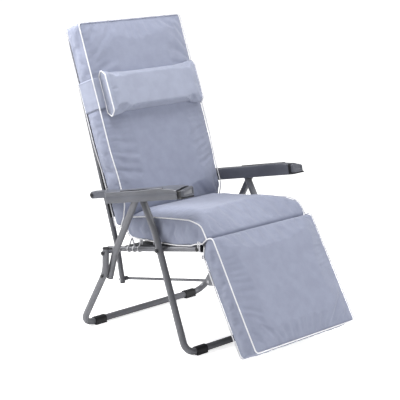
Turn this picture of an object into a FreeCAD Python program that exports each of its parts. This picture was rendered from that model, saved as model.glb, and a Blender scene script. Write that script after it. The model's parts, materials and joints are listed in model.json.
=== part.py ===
# Padded folding relaxer chair: round-tube frame that folds, reclining back with a
# linked footrest, hollow armrests, loose cushions on fabric slings.
#
# Frame while modelling: X across the chair (the sitter's left is +X), Y to the rear,
# Z up from the floor. Side views are lists of (y, z). At the end every node gets the
# same Placement shift so that the bottom centre of the whole chair is the origin.
# All lengths are millimetres. The driving sizes are the cells of the sheet "Sizes".
import math
import os

import FreeCAD
import Part
from FreeCAD import Placement, Rotation, Vector

doc = FreeCAD.newDocument("folding_chair")
os.makedirs("parts", exist_ok=True)

# ---------------------------------------------------------------- driving sizes
SIZES = [
    ("cushion_width", 498.0, "width of seat, back and footrest cushions"),
    ("seat_height", 403.5, "height of the footrest hinge above the floor"),
    ("back_length", 763.0, "length of the back cushion along its lean"),
    ("footrest_length", 377.0, "length of the footrest cushion"),
    ("back_cushion_thickness", 84.0, "back cushion, front face to rear face"),
    ("footrest_cushion_thickness", 83.0, "footrest cushion, front face to rear face"),
    ("leg_tube_diameter", 25.0, "front legs, rear legs, struts and floor bars"),
    ("frame_tube_diameter", 20.0, "seat rails, back tubes and back top bar"),
    ("footrest_tube_diameter", 18.0, "footrest tubes and end bar"),
    ("crossbar_diameter", 18.0, "two bars between the seat rails"),
    ("tube_wall", 1.5, "wall of every tube"),
    ("link_rod_diameter", 10.0, "rods from the back to the footrest"),
    ("bolt_diameter", 8.0, "hinge and leg bolts"),
    ("link_pin_diameter", 6.0, "pins of the link rods"),
    ("running_clearance", 0.1, "radial play of a tube that turns on a bolt"),
    ("plane_gap", 2.0, "gap between the seat rail and the tubes beside it"),
    ("leg_gap", 1.5, "gap between the leg tubes, side by side"),
    ("sling_thickness", 2.0, "seat, back and footrest fabric"),
    ("armrest_width", 64.5, "armrest shell, inner face to outer face"),
    ("armrest_wall", 2.5, "wall of the armrest shell"),
    ("armrest_length", 500.0, "rear pivot to the front end of the shell"),
    ("front_foot_length", 50.0, "plastic foot on the front floor bar"),
    ("rear_foot_length", 52.0, "plastic foot on the rear floor bar"),
    ("cap_thickness", 3.0, "plastic end caps of the tubes"),
]
S = {name: value for name, value, _ in SIZES}
sheet = doc.addObject("Spreadsheet::Sheet", "Sizes")
sheet.Label = "Sizes"
for row, (name, value, note) in enumerate(SIZES, start=1):
    sheet.set("A%d" % row, name)
    sheet.set("B%d" % row, repr(value))
    sheet.set("C%d" % row, note)
    sheet.setAlias("B%d" % row, name)
doc.recompute()

R_LEG = S["leg_tube_diameter"] / 2
R_FRAME = S["frame_tube_diameter"] / 2
R_FOOT = S["footrest_tube_diameter"] / 2
R_BAR = S["crossbar_diameter"] / 2
R_BOLT = S["bolt_diameter"] / 2
R_PIN = S["link_pin_diameter"] / 2
HALF = S["cushion_width"] / 2

# Planes across the chair, from the middle outwards (distance from x = 0).
X_RAIL = HALF - 5.5
X_BACK = X_RAIL - 2 * R_FRAME - S["plane_gap"]
X_REST = X_BACK
X_FRONT = X_RAIL + R_FRAME + S["plane_gap"] + R_LEG
X_STRUT = X_FRONT + 2 * R_LEG + S["leg_gap"]
X_REAR = X_STRUT + 2 * R_LEG + S["leg_gap"]
X_LINK = X_BACK - R_FRAME - 7.5
X_ARM = HALF + 1.5

# ------------------------------------------------------ side view: pivots (y, z)
LIFT = S["seat_height"] - 403.5
MID = 0.75 * LIFT
AXLE = R_LEG + 2.0                      # centre of the floor bars above the floor


def up(y, z):
    return (y, z + LIFT)


def along(p, q, distance):
    """Point at a distance from p towards q."""
    length = math.hypot(q[0] - p[0], q[1] - p[1])
    return (p[0] + (q[0] - p[0]) * distance / length,
            p[1] + (q[1] - p[1]) * distance / length)


REST_HINGE = up(-221.0, 403.5)          # seat rail to footrest
BACK_HINGE = up(243.0, 315.5)           # seat rail to back tube
REAR_LEG_PIVOT = along(BACK_HINGE, REST_HINGE, 50.8)
FRONT_LEG_PIVOT = along(BACK_HINGE, REST_HINGE, 291.0)
APEX = up(48.0, 547.0)                  # front leg to strut, inside the armrest
STRUT_PIN = (200.0, 236.0 + MID)        # strut to rear leg
BACK_LINK = up(220.0, 198.0)            # back tube to link rod
REST_LINK = up(-244.0, 286.0)           # link rod to footrest
ARM_PIVOT = up(308.5, 517.0)            # back tube to armrest
FRONT_FLOOR = (-175.0, AXLE)
REAR_FLOOR = (345.0, AXLE)

# ------------------------------------------------------------- small geometry


def xyz(x, p):
    return Vector(x, p[0], p[1])


def rounded(corners, closed):
    """Corners [(point, radius)] as straight and arc pieces that meet tangentially."""
    count = len(corners)
    pieces, entry, exits = [], [], []
    for i, (point, radius) in enumerate(corners):
        if radius <= 0 or (not closed and i in (0, count - 1)):
            entry.append(point)
            exits.append(point)
            continue
        before = (corners[i - 1][0] - point).normalize()
        after = (corners[(i + 1) % count][0] - point).normalize()
        half_angle = before.getAngle(after) / 2
        reach = radius / math.tan(half_angle)
        middle = (before + after).normalize()
        centre = point + middle * (radius / math.sin(half_angle))
        entry.append(point + before * reach)
        exits.append(point + after * reach)
        pieces.append((i, centre - middle * radius))
    arcs = dict(pieces)
    out = []
    for i in range(count):
        if i in arcs:
            out.append(Part.Arc(entry[i], arcs[i], exits[i]))
        if closed or i < count - 1:
            start, end = exits[i], entry[(i + 1) % count]
            if start.distanceToPoint(end) > 1e-6:
                out.append(Part.LineSegment(start, end))
    return out


def cylinder(label, start, direction, length, radius):
    """Part::Cylinder from start along direction; radius is a number or a sheet expression."""
    obj = doc.addObject("Part::Cylinder", label)
    obj.Placement = Placement(start, Rotation(Vector(0, 0, 1), direction))
    obj.Height = length
    if isinstance(radius, str):
        obj.setExpression("Radius", radius)
    else:
        obj.Radius = radius
    return obj


def across(label, p, side, x0, x1, radius):
    """Cylinder across the chair at (y, z) = p, from distance x0 to x1 on one side."""
    return cylinder(label, xyz(side * x0, p), Vector(side, 0, 0), x1 - x0, radius)


def fuse(label, shapes):
    obj = doc.addObject("Part::MultiFuse", label)
    obj.Shapes = shapes
    return obj


def group(label, links):
    obj = doc.addObject("Part::Compound", label)
    obj.Links = links
    return obj


def cut(label, base, tools):
    if len(tools) == 1:
        tool = tools[0]
    else:
        tool = fuse(label + "_cutters", tools)
    obj = doc.addObject("Part::Cut", label)
    obj.Base = base
    obj.Tool = tool
    return obj


def sweep(label, spine, start, direction, radius):
    ring = doc.addObject("Part::Circle", label + "_ring")
    ring.setExpression("Radius", radius)
    ring.Placement = Placement(start, Rotation(Vector(0, 0, 1), direction))
    obj = doc.addObject("Part::Sweep", label)
    obj.Sections = [ring]
    obj.Spine = (spine, ["Edge%d" % (i + 1) for i in range(len(spine.Shape.Edges))])
    obj.Solid = True
    obj.Frenet = False
    return obj


OUTER = {}                              # outer solid of each tube, used as a cutter


def bent_tube(label, corners, size, holes):
    """Hollow tube along corners [(x, y, z, bend radius)], with cross holes."""
    points = [(Vector(*c[:3]), c[3]) for c in corners]
    spine = doc.addObject("Part::Feature", label + "_spine")
    spine.Shape = Part.Wire([piece.toShape() for piece in rounded(points, False)])
    start = points[0][0]
    direction = points[1][0] - start
    outer = sweep(label + "_outer", spine, start, direction, "Sizes.%s / 2" % size)
    inner = sweep(label + "_inner", spine, start, direction,
                  "Sizes.%s / 2 - Sizes.tube_wall" % size)
    OUTER[label] = outer
    return cut(label, outer, [inner] + holes)


def straight_tube(label, x0, x1, p, size, copes=()):
    """Hollow tube across the chair from x0 to x1 at (y, z) = p."""
    start = xyz(x0, p)
    outer = cylinder(label + "_outer", start, Vector(1, 0, 0), x1 - x0, "Sizes.%s / 2" % size)
    inner = cylinder(label + "_inner", start, Vector(1, 0, 0), x1 - x0,
                     "Sizes.%s / 2 - Sizes.tube_wall" % size)
    return cut(label, outer, [inner] + list(copes))


def end_cap(label, end, direction, size, shaft=3.0):
    """Plastic cap: a short shaft inside the tube and a disc on its end."""
    direction = direction.normalize()
    disc = cylinder(label + "_disc", end, direction, S["cap_thickness"], "Sizes.%s / 2" % size)
    disc.setExpression("Height", "Sizes.cap_thickness")
    plug = cylinder(label + "_plug", end, direction * -1.0, shaft,
                    "Sizes.%s / 2 - Sizes.tube_wall - 0.2" % size)
    return fuse(label, [disc, plug])


def hole(label, p, side, x, fit):
    """Cutter across one tube at distance x; fit is the sheet expression of its radius."""
    return across(label, p, side, x - 16.0, x + 16.0, fit)


BOLT_FIT = "Sizes.bolt_diameter / 2"
BOLT_RUN = "Sizes.bolt_diameter / 2 + Sizes.running_clearance"
PIN_FIT = "Sizes.link_pin_diameter / 2"
PIN_RUN = "Sizes.link_pin_diameter / 2 + Sizes.running_clearance"

# ------------------------------------------------------------ PartDesign helpers


def new_body(label):
    body = doc.addObject("PartDesign::Body", label)
    return body


def side_sketch(body, label, corners, x):
    """Closed side profile [(y, z, radius)] on the body's YZ plane, moved out to x."""
    sketch = body.newObject("Sketcher::SketchObject", label)
    plane = [f for f in body.Origin.OriginFeatures if f.Role == "YZ_Plane"][0]
    sketch.AttachmentSupport = (plane, [""])
    sketch.MapMode = "FlatFace"
    sketch.AttachmentOffset = Placement(Vector(0, 0, x), Rotation())
    points = [(Vector(y, z, 0), r) for y, z, r in corners]
    for piece in rounded(points, True):
        sketch.addGeometry(piece)
    return sketch


def pad(body, label, sketch, length, symmetric=False):
    """Pad towards +X, or both ways from the sketch; length is a sheet expression."""
    feature = body.newObject("PartDesign::Pad", label)
    feature.Profile = sketch
    if symmetric:
        feature.SideType = "Symmetric"
    feature.setExpression("Length", length)
    sketch.Visibility = False
    return feature


def pocket(body, label, sketch, length):
    """Pocket from the sketch towards -X."""
    feature = body.newObject("PartDesign::Pocket", label)
    feature.Profile = sketch
    feature.setExpression("Length", length)
    sketch.Visibility = False
    return feature


def fillet_where(body, label, feature, radius, wanted):
    """Fillet the edges of the feature for which wanted(edge) is true."""
    doc.recompute()
    names = ["Edge%d" % (i + 1) for i, e in enumerate(feature.Shape.Edges) if wanted(e)]
    fillet = body.newObject("PartDesign::Fillet", label)
    fillet.Base = (feature, names)
    fillet.Radius = radius
    return fillet


NODES = []


def node(label, obj):
    obj.Label = label
    NODES.append(obj)
    return obj


SIDES = [("right", -1), ("left", 1)]

# ===================================================================== SEAT BODY
rail_dir = Vector(0, REST_HINGE[0] - BACK_HINGE[0], REST_HINGE[1] - BACK_HINGE[1]).normalize()
rail_rear = along(BACK_HINGE, REST_HINGE, -24.0)
rail_front = along(REST_HINGE, BACK_HINGE, -14.0)
RAIL_SLOPE = rail_dir.z / rail_dir.y


def rail_z(y):
    """Height of the rail axis at y."""
    return REST_HINGE[1] + (y - REST_HINGE[0]) * RAIL_SLOPE


def on_rail(y, rise):
    """Point above the rail axis at y, measured square to the rail."""
    return (y, rail_z(y) + rise / abs(rail_dir.y))


for name, side in SIDES:
    holes = [hole("rail_hole_%d_%s" % (i, name), p, side, X_RAIL, BOLT_FIT)
             for i, p in enumerate((BACK_HINGE, REAR_LEG_PIVOT, FRONT_LEG_PIVOT, REST_HINGE))]
    node("seat_rail_" + name, bent_tube(
        "seat_rail_" + name,
        [(side * X_RAIL, *rail_rear, 0), (side * X_RAIL, *rail_front, 0)],
        "frame_tube_diameter", holes))

caps = []
for name, side in SIDES:
    caps.append(end_cap("rail_cap_rear_" + name, xyz(side * X_RAIL, rail_rear),
                        rail_dir * -1.0, "frame_tube_diameter"))
    caps.append(end_cap("rail_cap_front_" + name, xyz(side * X_RAIL, rail_front),
                        rail_dir * 1.0, "frame_tube_diameter"))
node("seat_rail_caps", group("seat_rail_caps", caps))

for name, y in (("front", -178.0), ("rear", 167.0)):
    copes = [OUTER["seat_rail_right"], OUTER["seat_rail_left"]]
    node("seat_%s_crossbar" % name, straight_tube(
        "seat_%s_crossbar" % name, -X_RAIL + 3.0, X_RAIL - 3.0, (y, rail_z(y)),
        "crossbar_diameter", copes))

# Fabric stretched over the rails.
SLING_UNDER = R_FRAME
SLING_TOP = R_FRAME + S["sling_thickness"]
sling = new_body("seat_sling")
profile = [(*on_rail(-192.0, SLING_UNDER), 0), (*on_rail(-192.0, SLING_TOP), 0),
           (*on_rail(175.0, SLING_TOP), 0), (*on_rail(175.0, SLING_UNDER), 0)]
pad(sling, "seat_sling_pad", side_sketch(sling, "seat_sling_profile", profile, 0),
    "Sizes.cushion_width - 11", True)
node("seat_sling", sling)

# Seat cushion: bottom rests on the sling at the front and rises off it at the rear.
under_front = on_rail(-188.0, SLING_TOP)
under_mid = on_rail(-105.0, SLING_TOP)
seat_profile = [
    (*up(157.0, 376.0), 26), (*up(152.0, 452.0), 14), (*up(-190.0, 500.5), 30),
    (*up(-240.0, 496.0), 22), (*up(-253.0, 452.0), 18), (*up(-240.0, 426.0), 12),
    (*up(-212.0, 421.5), 8), (*under_front, 0), (*under_mid, 0)]
seat_cushion = new_body("seat_cushion")
pad(seat_cushion, "seat_cushion_pad",
    side_sketch(seat_cushion, "seat_cushion_profile", seat_profile, 0),
    "Sizes.cushion_width", True)
node("seat_cushion", seat_cushion)


def cushion_under(y):
    """Height of the straight rear part of the seat cushion's underside."""
    rear = up(157.0, 376.0)
    return under_mid[1] + (y - under_mid[0]) * (rear[1] - under_mid[1]) / (rear[0] - under_mid[0])


# Fabric ties between the sling and the raised rear part of the cushion.
ties = []
for name, side in SIDES:
    for number, y in enumerate((30.0, 105.0)):
        tie = new_body("seat_tie_%s_%d" % (name, number))
        corners = [(*on_rail(y - 9, SLING_TOP), 0), (y - 9, cushion_under(y - 9), 0),
                   (y + 9, cushion_under(y + 9), 0), (*on_rail(y + 9, SLING_TOP), 0)]
        x = side * (HALF - 24.0) - 1.0
        pad(tie, "seat_tie_pad_%s_%d" % (name, number),
            side_sketch(tie, "seat_tie_profile_%s_%d" % (name, number), corners, x),
            "Sizes.sling_thickness")
        ties.append(tie)
node("seat_ties", group("seat_ties", ties))

# Bolts that carry the back and the footrest.
bolts = []
for name, side in SIDES:
    for key, p, x_in in (("back", BACK_HINGE, X_BACK - R_FRAME),
                         ("rest", REST_HINGE, X_REST - R_FOOT)):
        x_out = X_RAIL + R_FRAME
        tag = "%s_%s" % (key, name)
        bolts.append(fuse("hinge_bolt_" + tag, [
            across("hinge_head_" + tag, p, side, x_in - 3.4, x_in - 0.3, 7.0),
            across("hinge_shank_" + tag, p, side, x_in - 0.4, x_out, BOLT_FIT),
            across("hinge_collar_" + tag, p, side, x_out - 2 * R_FRAME - 1.6,
                   x_out - 2 * R_FRAME, 7.5),
            across("hinge_nut_" + tag, p, side, x_out, x_out + 3.5, 7.5)]))
node("hinge_bolts", group("hinge_bolts", bolts))

# Bolts that carry the legs.
bolts = []
for name, side in SIDES:
    x_in = X_RAIL - R_FRAME
    x_rail = X_RAIL + R_FRAME
    bolts.append(fuse("front_leg_bolt_" + name, [
        across("front_leg_bolt_head_" + name, FRONT_LEG_PIVOT, side, x_in - 2.6, x_in, 7.0),
        across("front_leg_bolt_shank_" + name, FRONT_LEG_PIVOT, side, x_in,
               X_FRONT + R_LEG + 0.3, BOLT_FIT),
        across("front_leg_bolt_collar_" + name, FRONT_LEG_PIVOT, side, x_rail,
               x_rail + 1.6, 8.0),
        across("front_leg_bolt_nut_" + name, FRONT_LEG_PIVOT, side, X_FRONT + R_LEG + 0.3,
               X_FRONT + R_LEG + 3.5, 8.0)]))
    bolts.append(fuse("rear_leg_bolt_" + name, [
        across("rear_leg_bolt_head_" + name, REAR_LEG_PIVOT, side, x_in - 2.6, x_in, 7.0),
        across("rear_leg_bolt_shank_" + name, REAR_LEG_PIVOT, side, x_in,
               X_REAR + R_LEG + 0.3, BOLT_FIT),
        across("rear_leg_bolt_spacer_" + name, REAR_LEG_PIVOT, side, x_rail,
               X_REAR - R_LEG - 0.3, 6.0),
        across("rear_leg_bolt_nut_" + name, REAR_LEG_PIVOT, side, X_REAR + R_LEG + 0.3,
               X_REAR + R_LEG + 3.5, 8.0)]))
node("leg_bolts", group("leg_bolts", bolts))

# =============================================================== FRONT LEGS BODY
front_bend = along(FRONT_LEG_PIVOT, FRONT_FLOOR, -68.0)
front_top = along(APEX, front_bend, -14.0)
x_split = 215.0 / 268.0 * X_FRONT
for name, side in SIDES:
    x = side * X_FRONT
    node("front_leg_" + name, bent_tube(
        "front_leg_" + name,
        [(x, *front_top, 0), (x, *front_bend, 120.0), (x, *FRONT_FLOOR, 42.0),
         (side * x_split, *FRONT_FLOOR, 0)],
        "leg_tube_diameter",
        [hole("front_leg_apex_hole_" + name, APEX, side, X_FRONT, BOLT_FIT),
         hole("front_leg_pivot_hole_" + name, FRONT_LEG_PIVOT, side, X_FRONT, BOLT_RUN)]))
node("front_floor_bar", straight_tube("front_floor_bar", -x_split, x_split, FRONT_FLOOR,
                                      "leg_tube_diameter"))
direction = xyz(0, front_top) - xyz(0, front_bend)
node("front_leg_caps", group("front_leg_caps", [
    end_cap("front_leg_cap_" + name, xyz(side * X_FRONT, front_top), direction,
            "leg_tube_diameter") for name, side in SIDES]))
node("apex_pins", group("apex_pins", [
    across("apex_pin_" + name, APEX, side, X_FRONT - R_LEG - 2.0, X_STRUT + R_LEG + 4.5,
           BOLT_FIT) for name, side in SIDES]))


def foot(label, centre_x, p, length):
    """Plastic foot clamped round a floor bar, flat underneath."""
    body = new_body(label)
    wide = R_LEG + 3.5
    corners = [(p[0] - wide, 0.0, 2), (p[0] - wide, p[1] + R_LEG + 3.0, wide - 2.0),
               (p[0] + wide, p[1] + R_LEG + 3.0, wide - 2.0), (p[0] + wide, 0.0, 2)]
    pad(body, label + "_pad", side_sketch(body, label + "_profile", corners,
                                          centre_x - S[length] / 2), "Sizes." + length)
    bore = body.newObject("Sketcher::SketchObject", label + "_bore")
    plane = [f for f in body.Origin.OriginFeatures if f.Role == "YZ_Plane"][0]
    bore.AttachmentSupport = (plane, [""])
    bore.MapMode = "FlatFace"
    bore.AttachmentOffset = Placement(Vector(0, 0, centre_x + S[length] / 2), Rotation())
    bore.addGeometry(Part.Circle(Vector(p[0], p[1], 0), Vector(0, 0, 1), R_LEG))
    pocket(body, label + "_pocket", bore, "Sizes." + length)
    return body


x_foot = 200.0 / 268.0 * X_FRONT
node("front_feet", group("front_feet", [
    foot("front_foot_" + name, side * x_foot, FRONT_FLOOR, "front_foot_length")
    for name, side in SIDES]))

# ================================================================ REAR LEGS BODY
rear_bend = (197.0, 252.0 + MID)
rear_top = along(REAR_LEG_PIVOT, rear_bend, -16.0)
x_split = 240.0 / 321.0 * X_REAR
for name, side in SIDES:
    x = side * X_REAR
    node("rear_leg_" + name, bent_tube(
        "rear_leg_" + name,
        [(x, *rear_top, 0), (x, *rear_bend, 100.0), (x, *REAR_FLOOR, 58.0),
         (side * x_split, *REAR_FLOOR, 0)],
        "leg_tube_diameter",
        [hole("rear_leg_pivot_hole_" + name, REAR_LEG_PIVOT, side, X_REAR, BOLT_RUN),
         hole("rear_leg_pin_hole_" + name, STRUT_PIN, side, X_REAR, PIN_FIT)]))
node("rear_floor_bar", straight_tube("rear_floor_bar", -x_split, x_split, REAR_FLOOR,
                                     "leg_tube_diameter"))
direction = xyz(0, rear_top) - xyz(0, rear_bend)
node("rear_leg_caps", group("rear_leg_caps", [
    end_cap("rear_leg_cap_" + name, xyz(side * X_REAR, rear_top), direction,
            "leg_tube_diameter") for name, side in SIDES]))
node("rear_leg_pins", group("rear_leg_pins", [
    fuse("rear_leg_pin_" + name, [
        across("rear_leg_pin_shank_" + name, STRUT_PIN, side, X_REAR - R_LEG - 0.4,
               X_REAR + R_LEG, PIN_FIT),
        across("rear_leg_pin_head_" + name, STRUT_PIN, side, X_REAR + R_LEG,
               X_REAR + R_LEG + 3.0, 7.0)]) for name, side in SIDES]))
x_foot = 236.0 / 321.0 * X_REAR
node("rear_feet", group("rear_feet", [
    foot("rear_foot_" + name, side * x_foot, REAR_FLOOR, "rear_foot_length")
    for name, side in SIDES]))

# ================================================================= STRUT BODIES
strut_bend = (172.0, 324.0 + LIFT * 0.85)
strut_top = along(APEX, strut_bend, -14.0)
strut_end = (203.5, 225.0 + MID)
for name, side in SIDES:
    x = side * X_STRUT
    node("strut_tube_" + name, bent_tube(
        "strut_tube_" + name,
        [(x, *strut_top, 0), (x, *strut_bend, 90.0), (x, *strut_end, 0)],
        "leg_tube_diameter",
        [hole("strut_apex_hole_" + name, APEX, side, X_STRUT, BOLT_RUN),
         hole("strut_pin_hole_" + name, STRUT_PIN, side, X_STRUT, PIN_FIT)]))
    node("strut_caps_" + name, group("strut_caps_" + name, [
        end_cap("strut_cap_top_" + name, xyz(x, strut_top),
                xyz(0, strut_top) - xyz(0, strut_bend), "leg_tube_diameter"),
        end_cap("strut_cap_end_" + name, xyz(x, strut_end),
                xyz(0, strut_end) - xyz(0, strut_bend), "leg_tube_diameter")]))
    node("strut_pin_" + name, across("strut_pin_" + name, STRUT_PIN, side,
                                     X_STRUT - R_LEG - 0.8, X_STRUT + R_LEG + 0.2, PIN_FIT))

# ==================================================================== BACK BODY
LEAN = math.radians(19.9)               # back cushion, from the vertical
BACK_UP = (math.sin(LEAN), math.cos(LEAN))
BACK_FRONT = (-math.cos(LEAN), math.sin(LEAN))
CREASE = up(167.0, 502.0)               # on the front face, level with the seat


def on_back(s, n):
    """Point s along the lean from the crease and n in front of the front face."""
    return (CREASE[0] + s * BACK_UP[0] + n * BACK_FRONT[0],
            CREASE[1] + s * BACK_UP[1] + n * BACK_FRONT[1])


tube_corner = (499.0 - (763.0 - S["back_length"]) * 0.3420,
               1104.0 + LIFT - (763.0 - S["back_length"]) * 0.9397)
back_low = along(BACK_LINK, BACK_HINGE, -12.0)
x_bar = X_BACK - 62.0
for name, side in SIDES:
    x = side * X_BACK
    node("back_tube_" + name, bent_tube(
        "back_tube_" + name,
        [(x, *back_low, 0), (x, *BACK_HINGE, 90.0), (x, *tube_corner, 50.0),
         (side * x_bar, *tube_corner, 0)],
        "frame_tube_diameter",
        [hole("back_tube_hinge_hole_" + name, BACK_HINGE, side, X_BACK, BOLT_RUN),
         hole("back_tube_arm_hole_" + name, ARM_PIVOT, side, X_BACK, BOLT_FIT),
         hole("back_tube_link_hole_" + name, BACK_LINK, side, X_BACK, PIN_FIT)]))
node("back_top_bar", straight_tube("back_top_bar", -x_bar, x_bar, tube_corner,
                                   "frame_tube_diameter"))
direction = xyz(0, back_low) - xyz(0, BACK_HINGE)
node("back_tube_caps", group("back_tube_caps", [
    end_cap("back_tube_cap_" + name, xyz(side * X_BACK, back_low), direction,
            "frame_tube_diameter") for name, side in SIDES]))

# Fabric stretched over the front of the back tubes.
tube_len = math.hypot(tube_corner[0] - BACK_HINGE[0], tube_corner[1] - BACK_HINGE[1])
tube_up = ((tube_corner[0] - BACK_HINGE[0]) / tube_len,
           (tube_corner[1] - BACK_HINGE[1]) / tube_len)


def on_tube(s, n):
    """Point s up the back tube from its hinge and n in front of the tube's axis."""
    return (BACK_HINGE[0] + s * tube_up[0] - n * tube_up[1],
            BACK_HINGE[1] + s * tube_up[1] + n * tube_up[0])


sling = new_body("back_sling")
profile = [(*on_tube(115.0, SLING_UNDER), 0), (*on_tube(tube_len - 45.0, SLING_UNDER), 0),
           (*on_tube(tube_len - 45.0, SLING_TOP), 0), (*on_tube(115.0, SLING_TOP), 0)]
pad(sling, "back_sling_pad", side_sketch(sling, "back_sling_profile", profile, 0),
    "Sizes.cushion_width - 35", True)
node("back_sling", sling)

top = S["back_length"] - 79.5           # from the crease point to the top end
thick = S["back_cushion_thickness"]
back_profile = [
    (*on_back(0.0, 0.0), 0), (*on_back(top, 0.0), 24), (*on_back(top, -thick), 24),
    (*on_back(-38.0, -thick), 22), (*up(224.0, 405.0), 16), (*up(190.0, 412.0), 20),
    (*up(175.0, 448.0), 30)]
back_cushion = new_body("back_cushion")
pad(back_cushion, "back_cushion_pad",
    side_sketch(back_cushion, "back_cushion_profile", back_profile, 0),
    "Sizes.cushion_width", True)
node("back_cushion", back_cushion)

# Fabric ties from the cushion's rear face to the sling.
ties = []
for name, side in SIDES:
    for number, s in enumerate((60.0, 330.0, top - 60.0)):
        tie = new_body("back_tie_%s_%d" % (name, number))
        low, high = on_back(s - 14.0, -thick), on_back(s + 14.0, -thick)
        flat = []
        for point in (high, low):       # the same heights on the front of the sling
            rel = ((point[0] - BACK_HINGE[0]) * tube_up[0]
                   + (point[1] - BACK_HINGE[1]) * tube_up[1])
            flat.append(on_tube(rel, SLING_TOP))
        corners = [(*low, 0), (*high, 0), (*flat[0], 0), (*flat[1], 0)]
        x = side * (X_BACK - 4.0) - 1.0
        pad(tie, "back_tie_pad_%s_%d" % (name, number),
            side_sketch(tie, "back_tie_profile_%s_%d" % (name, number), corners, x),
            "Sizes.sling_thickness")
        ties.append(tie)
node("back_ties", group("back_ties", ties))

# Head pillow on the front face and the band that holds it round the cushion.
mid = top - 276.5                       # middle of the pillow along the lean
head_pillow = new_body("head_pillow")
profile = [(*on_back(mid - 84.0, 0.0), 0), (*on_back(mid + 84.0, 0.0), 0),
           (*on_back(mid + 62.0, 42.0), 30), (*on_back(mid, 62.0), 60),
           (*on_back(mid - 62.0, 42.0), 30)]
pad(head_pillow, "head_pillow_pad",
    side_sketch(head_pillow, "head_pillow_profile", profile, 0),
    "Sizes.cushion_width - 46", True)
node("head_pillow", head_pillow)


def band_piece(label, s0, s1, n0, n1, x0, x1):
    """Flat piece of webbing, a box square to the leaning face."""
    box = doc.addObject("Part::Box", label)
    box.Length = x1 - x0
    box.Width = n1 - n0
    box.Height = s1 - s0
    # local +Y (width) points forward of the face, local +Z up the lean
    turn = Rotation(Vector(-1, 0, 0), Vector(0, *BACK_FRONT), Vector(0, *BACK_UP), "XZY")
    origin = on_back(s0, n0)
    box.Placement = Placement(xyz(x1, origin), turn)
    return box


wide = 58.0
pieces = []
for name, side in SIDES:
    edges = sorted((side * HALF, side * (HALF + 2.0)))
    pieces.append(band_piece("band_side_" + name, mid - wide, mid + wide,
                             -thick - 2.0, 2.0, *edges))
    edges = sorted((side * (HALF - 22.6), side * (HALF + 2.0)))
    pieces.append(band_piece("band_front_" + name, mid - wide, mid + wide, 0.0, 2.0, *edges))
pieces.append(band_piece("band_rear", mid - wide, mid + wide, -thick - 2.0, -thick,
                         -HALF - 2.0, HALF + 2.0))
node("pillow_band", fuse("pillow_band", pieces))

# Bosses and pins that carry the armrests, pins that drive the link rods.
pivots = []
for name, side in SIDES:
    x_face = X_BACK + R_FRAME
    boss = cut("arm_boss_" + name, across("arm_boss_full_" + name, ARM_PIVOT, side,
                                          x_face - 5.0, X_ARM - 0.3, R_FRAME - 0.5),
               [OUTER["back_tube_" + name]])
    pivots.append(fuse("arm_pivot_" + name, [
        boss,
        across("arm_pin_" + name, ARM_PIVOT, side, X_BACK - R_FRAME, X_ARM + 35.3, BOLT_FIT),
        across("arm_pin_head_" + name, ARM_PIVOT, side, X_ARM + 34.9, X_ARM + 37.6, 8.0)]))
node("armrest_pivots", group("armrest_pivots", pivots))

pins = []
for name, side in SIDES:
    pins.append(fuse("back_link_pin_" + name, [
        across("back_link_shank_" + name, BACK_LINK, side, X_LINK - 6.0,
               X_BACK + R_FRAME, PIN_FIT),
        across("back_link_head_" + name, BACK_LINK, side, X_LINK - 8.8, X_LINK - 5.8, 6.0),
        across("back_link_nut_" + name, BACK_LINK, side, X_BACK + R_FRAME,
               X_BACK + R_FRAME + 1.5, 6.0)]))
node("back_link_pins", group("back_link_pins", pins))

# ================================================================ FOOTREST BODY
TILT = math.radians(29.2)               # footrest, from the vertical
REST_DOWN = (-math.sin(TILT), -math.cos(TILT))
REST_FRONT = (-math.cos(TILT), math.sin(TILT))


def on_rest(t, n):
    """Point t down the footrest tube from its hinge and n in front of the tube's axis."""
    return (REST_HINGE[0] + t * REST_DOWN[0] + n * REST_FRONT[0],
            REST_HINGE[1] + t * REST_DOWN[1] + n * REST_FRONT[1])


rest_top = on_rest(-8.0, 0.0)
rest_corner = on_rest(S["footrest_length"] + 5.0, 0.0)
x_bar = X_REST - 52.0
for name, side in SIDES:
    x = side * X_REST
    node("footrest_tube_" + name, bent_tube(
        "footrest_tube_" + name,
        [(x, *rest_top, 0), (x, *rest_corner, 40.0), (side * x_bar, *rest_corner, 0)],
        "footrest_tube_diameter",
        [hole("footrest_hinge_hole_" + name, REST_HINGE, side, X_REST, BOLT_RUN)]))
node("footrest_end_bar", straight_tube("footrest_end_bar", -x_bar, x_bar, rest_corner,
                                       "footrest_tube_diameter"))
node("footrest_tube_caps", group("footrest_tube_caps", [
    end_cap("footrest_cap_" + name, xyz(side * X_REST, rest_top),
            Vector(0, -REST_DOWN[0], -REST_DOWN[1]), "footrest_tube_diameter", 1.5)
    for name, side in SIDES]))

sling = new_body("footrest_sling")
low, high = R_FOOT, R_FOOT + S["sling_thickness"]
profile = [(*on_rest(38.0, low), 0), (*on_rest(38.0, high), 0),
           (*on_rest(S["footrest_length"] - 40.0, high), 0),
           (*on_rest(S["footrest_length"] - 40.0, low), 0)]
pad(sling, "footrest_sling_pad", side_sketch(sling, "footrest_sling_profile", profile, 0),
    "Sizes.cushion_width - 38", True)
node("footrest_sling", sling)

rest_thick = S["footrest_cushion_thickness"]
near, far = 17.3, 17.3 + rest_thick
end = 32.2 + S["footrest_length"]
footrest_cushion = new_body("footrest_cushion")
profile = [(*on_rest(32.2, near), 4), (*on_rest(32.2, far), 16), (*on_rest(end, far), 26),
           (*on_rest(end, near), 26)]
pad(footrest_cushion, "footrest_cushion_pad",
    side_sketch(footrest_cushion, "footrest_cushion_profile", profile, 0),
    "Sizes.cushion_width", True)
node("footrest_cushion", footrest_cushion)

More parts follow.
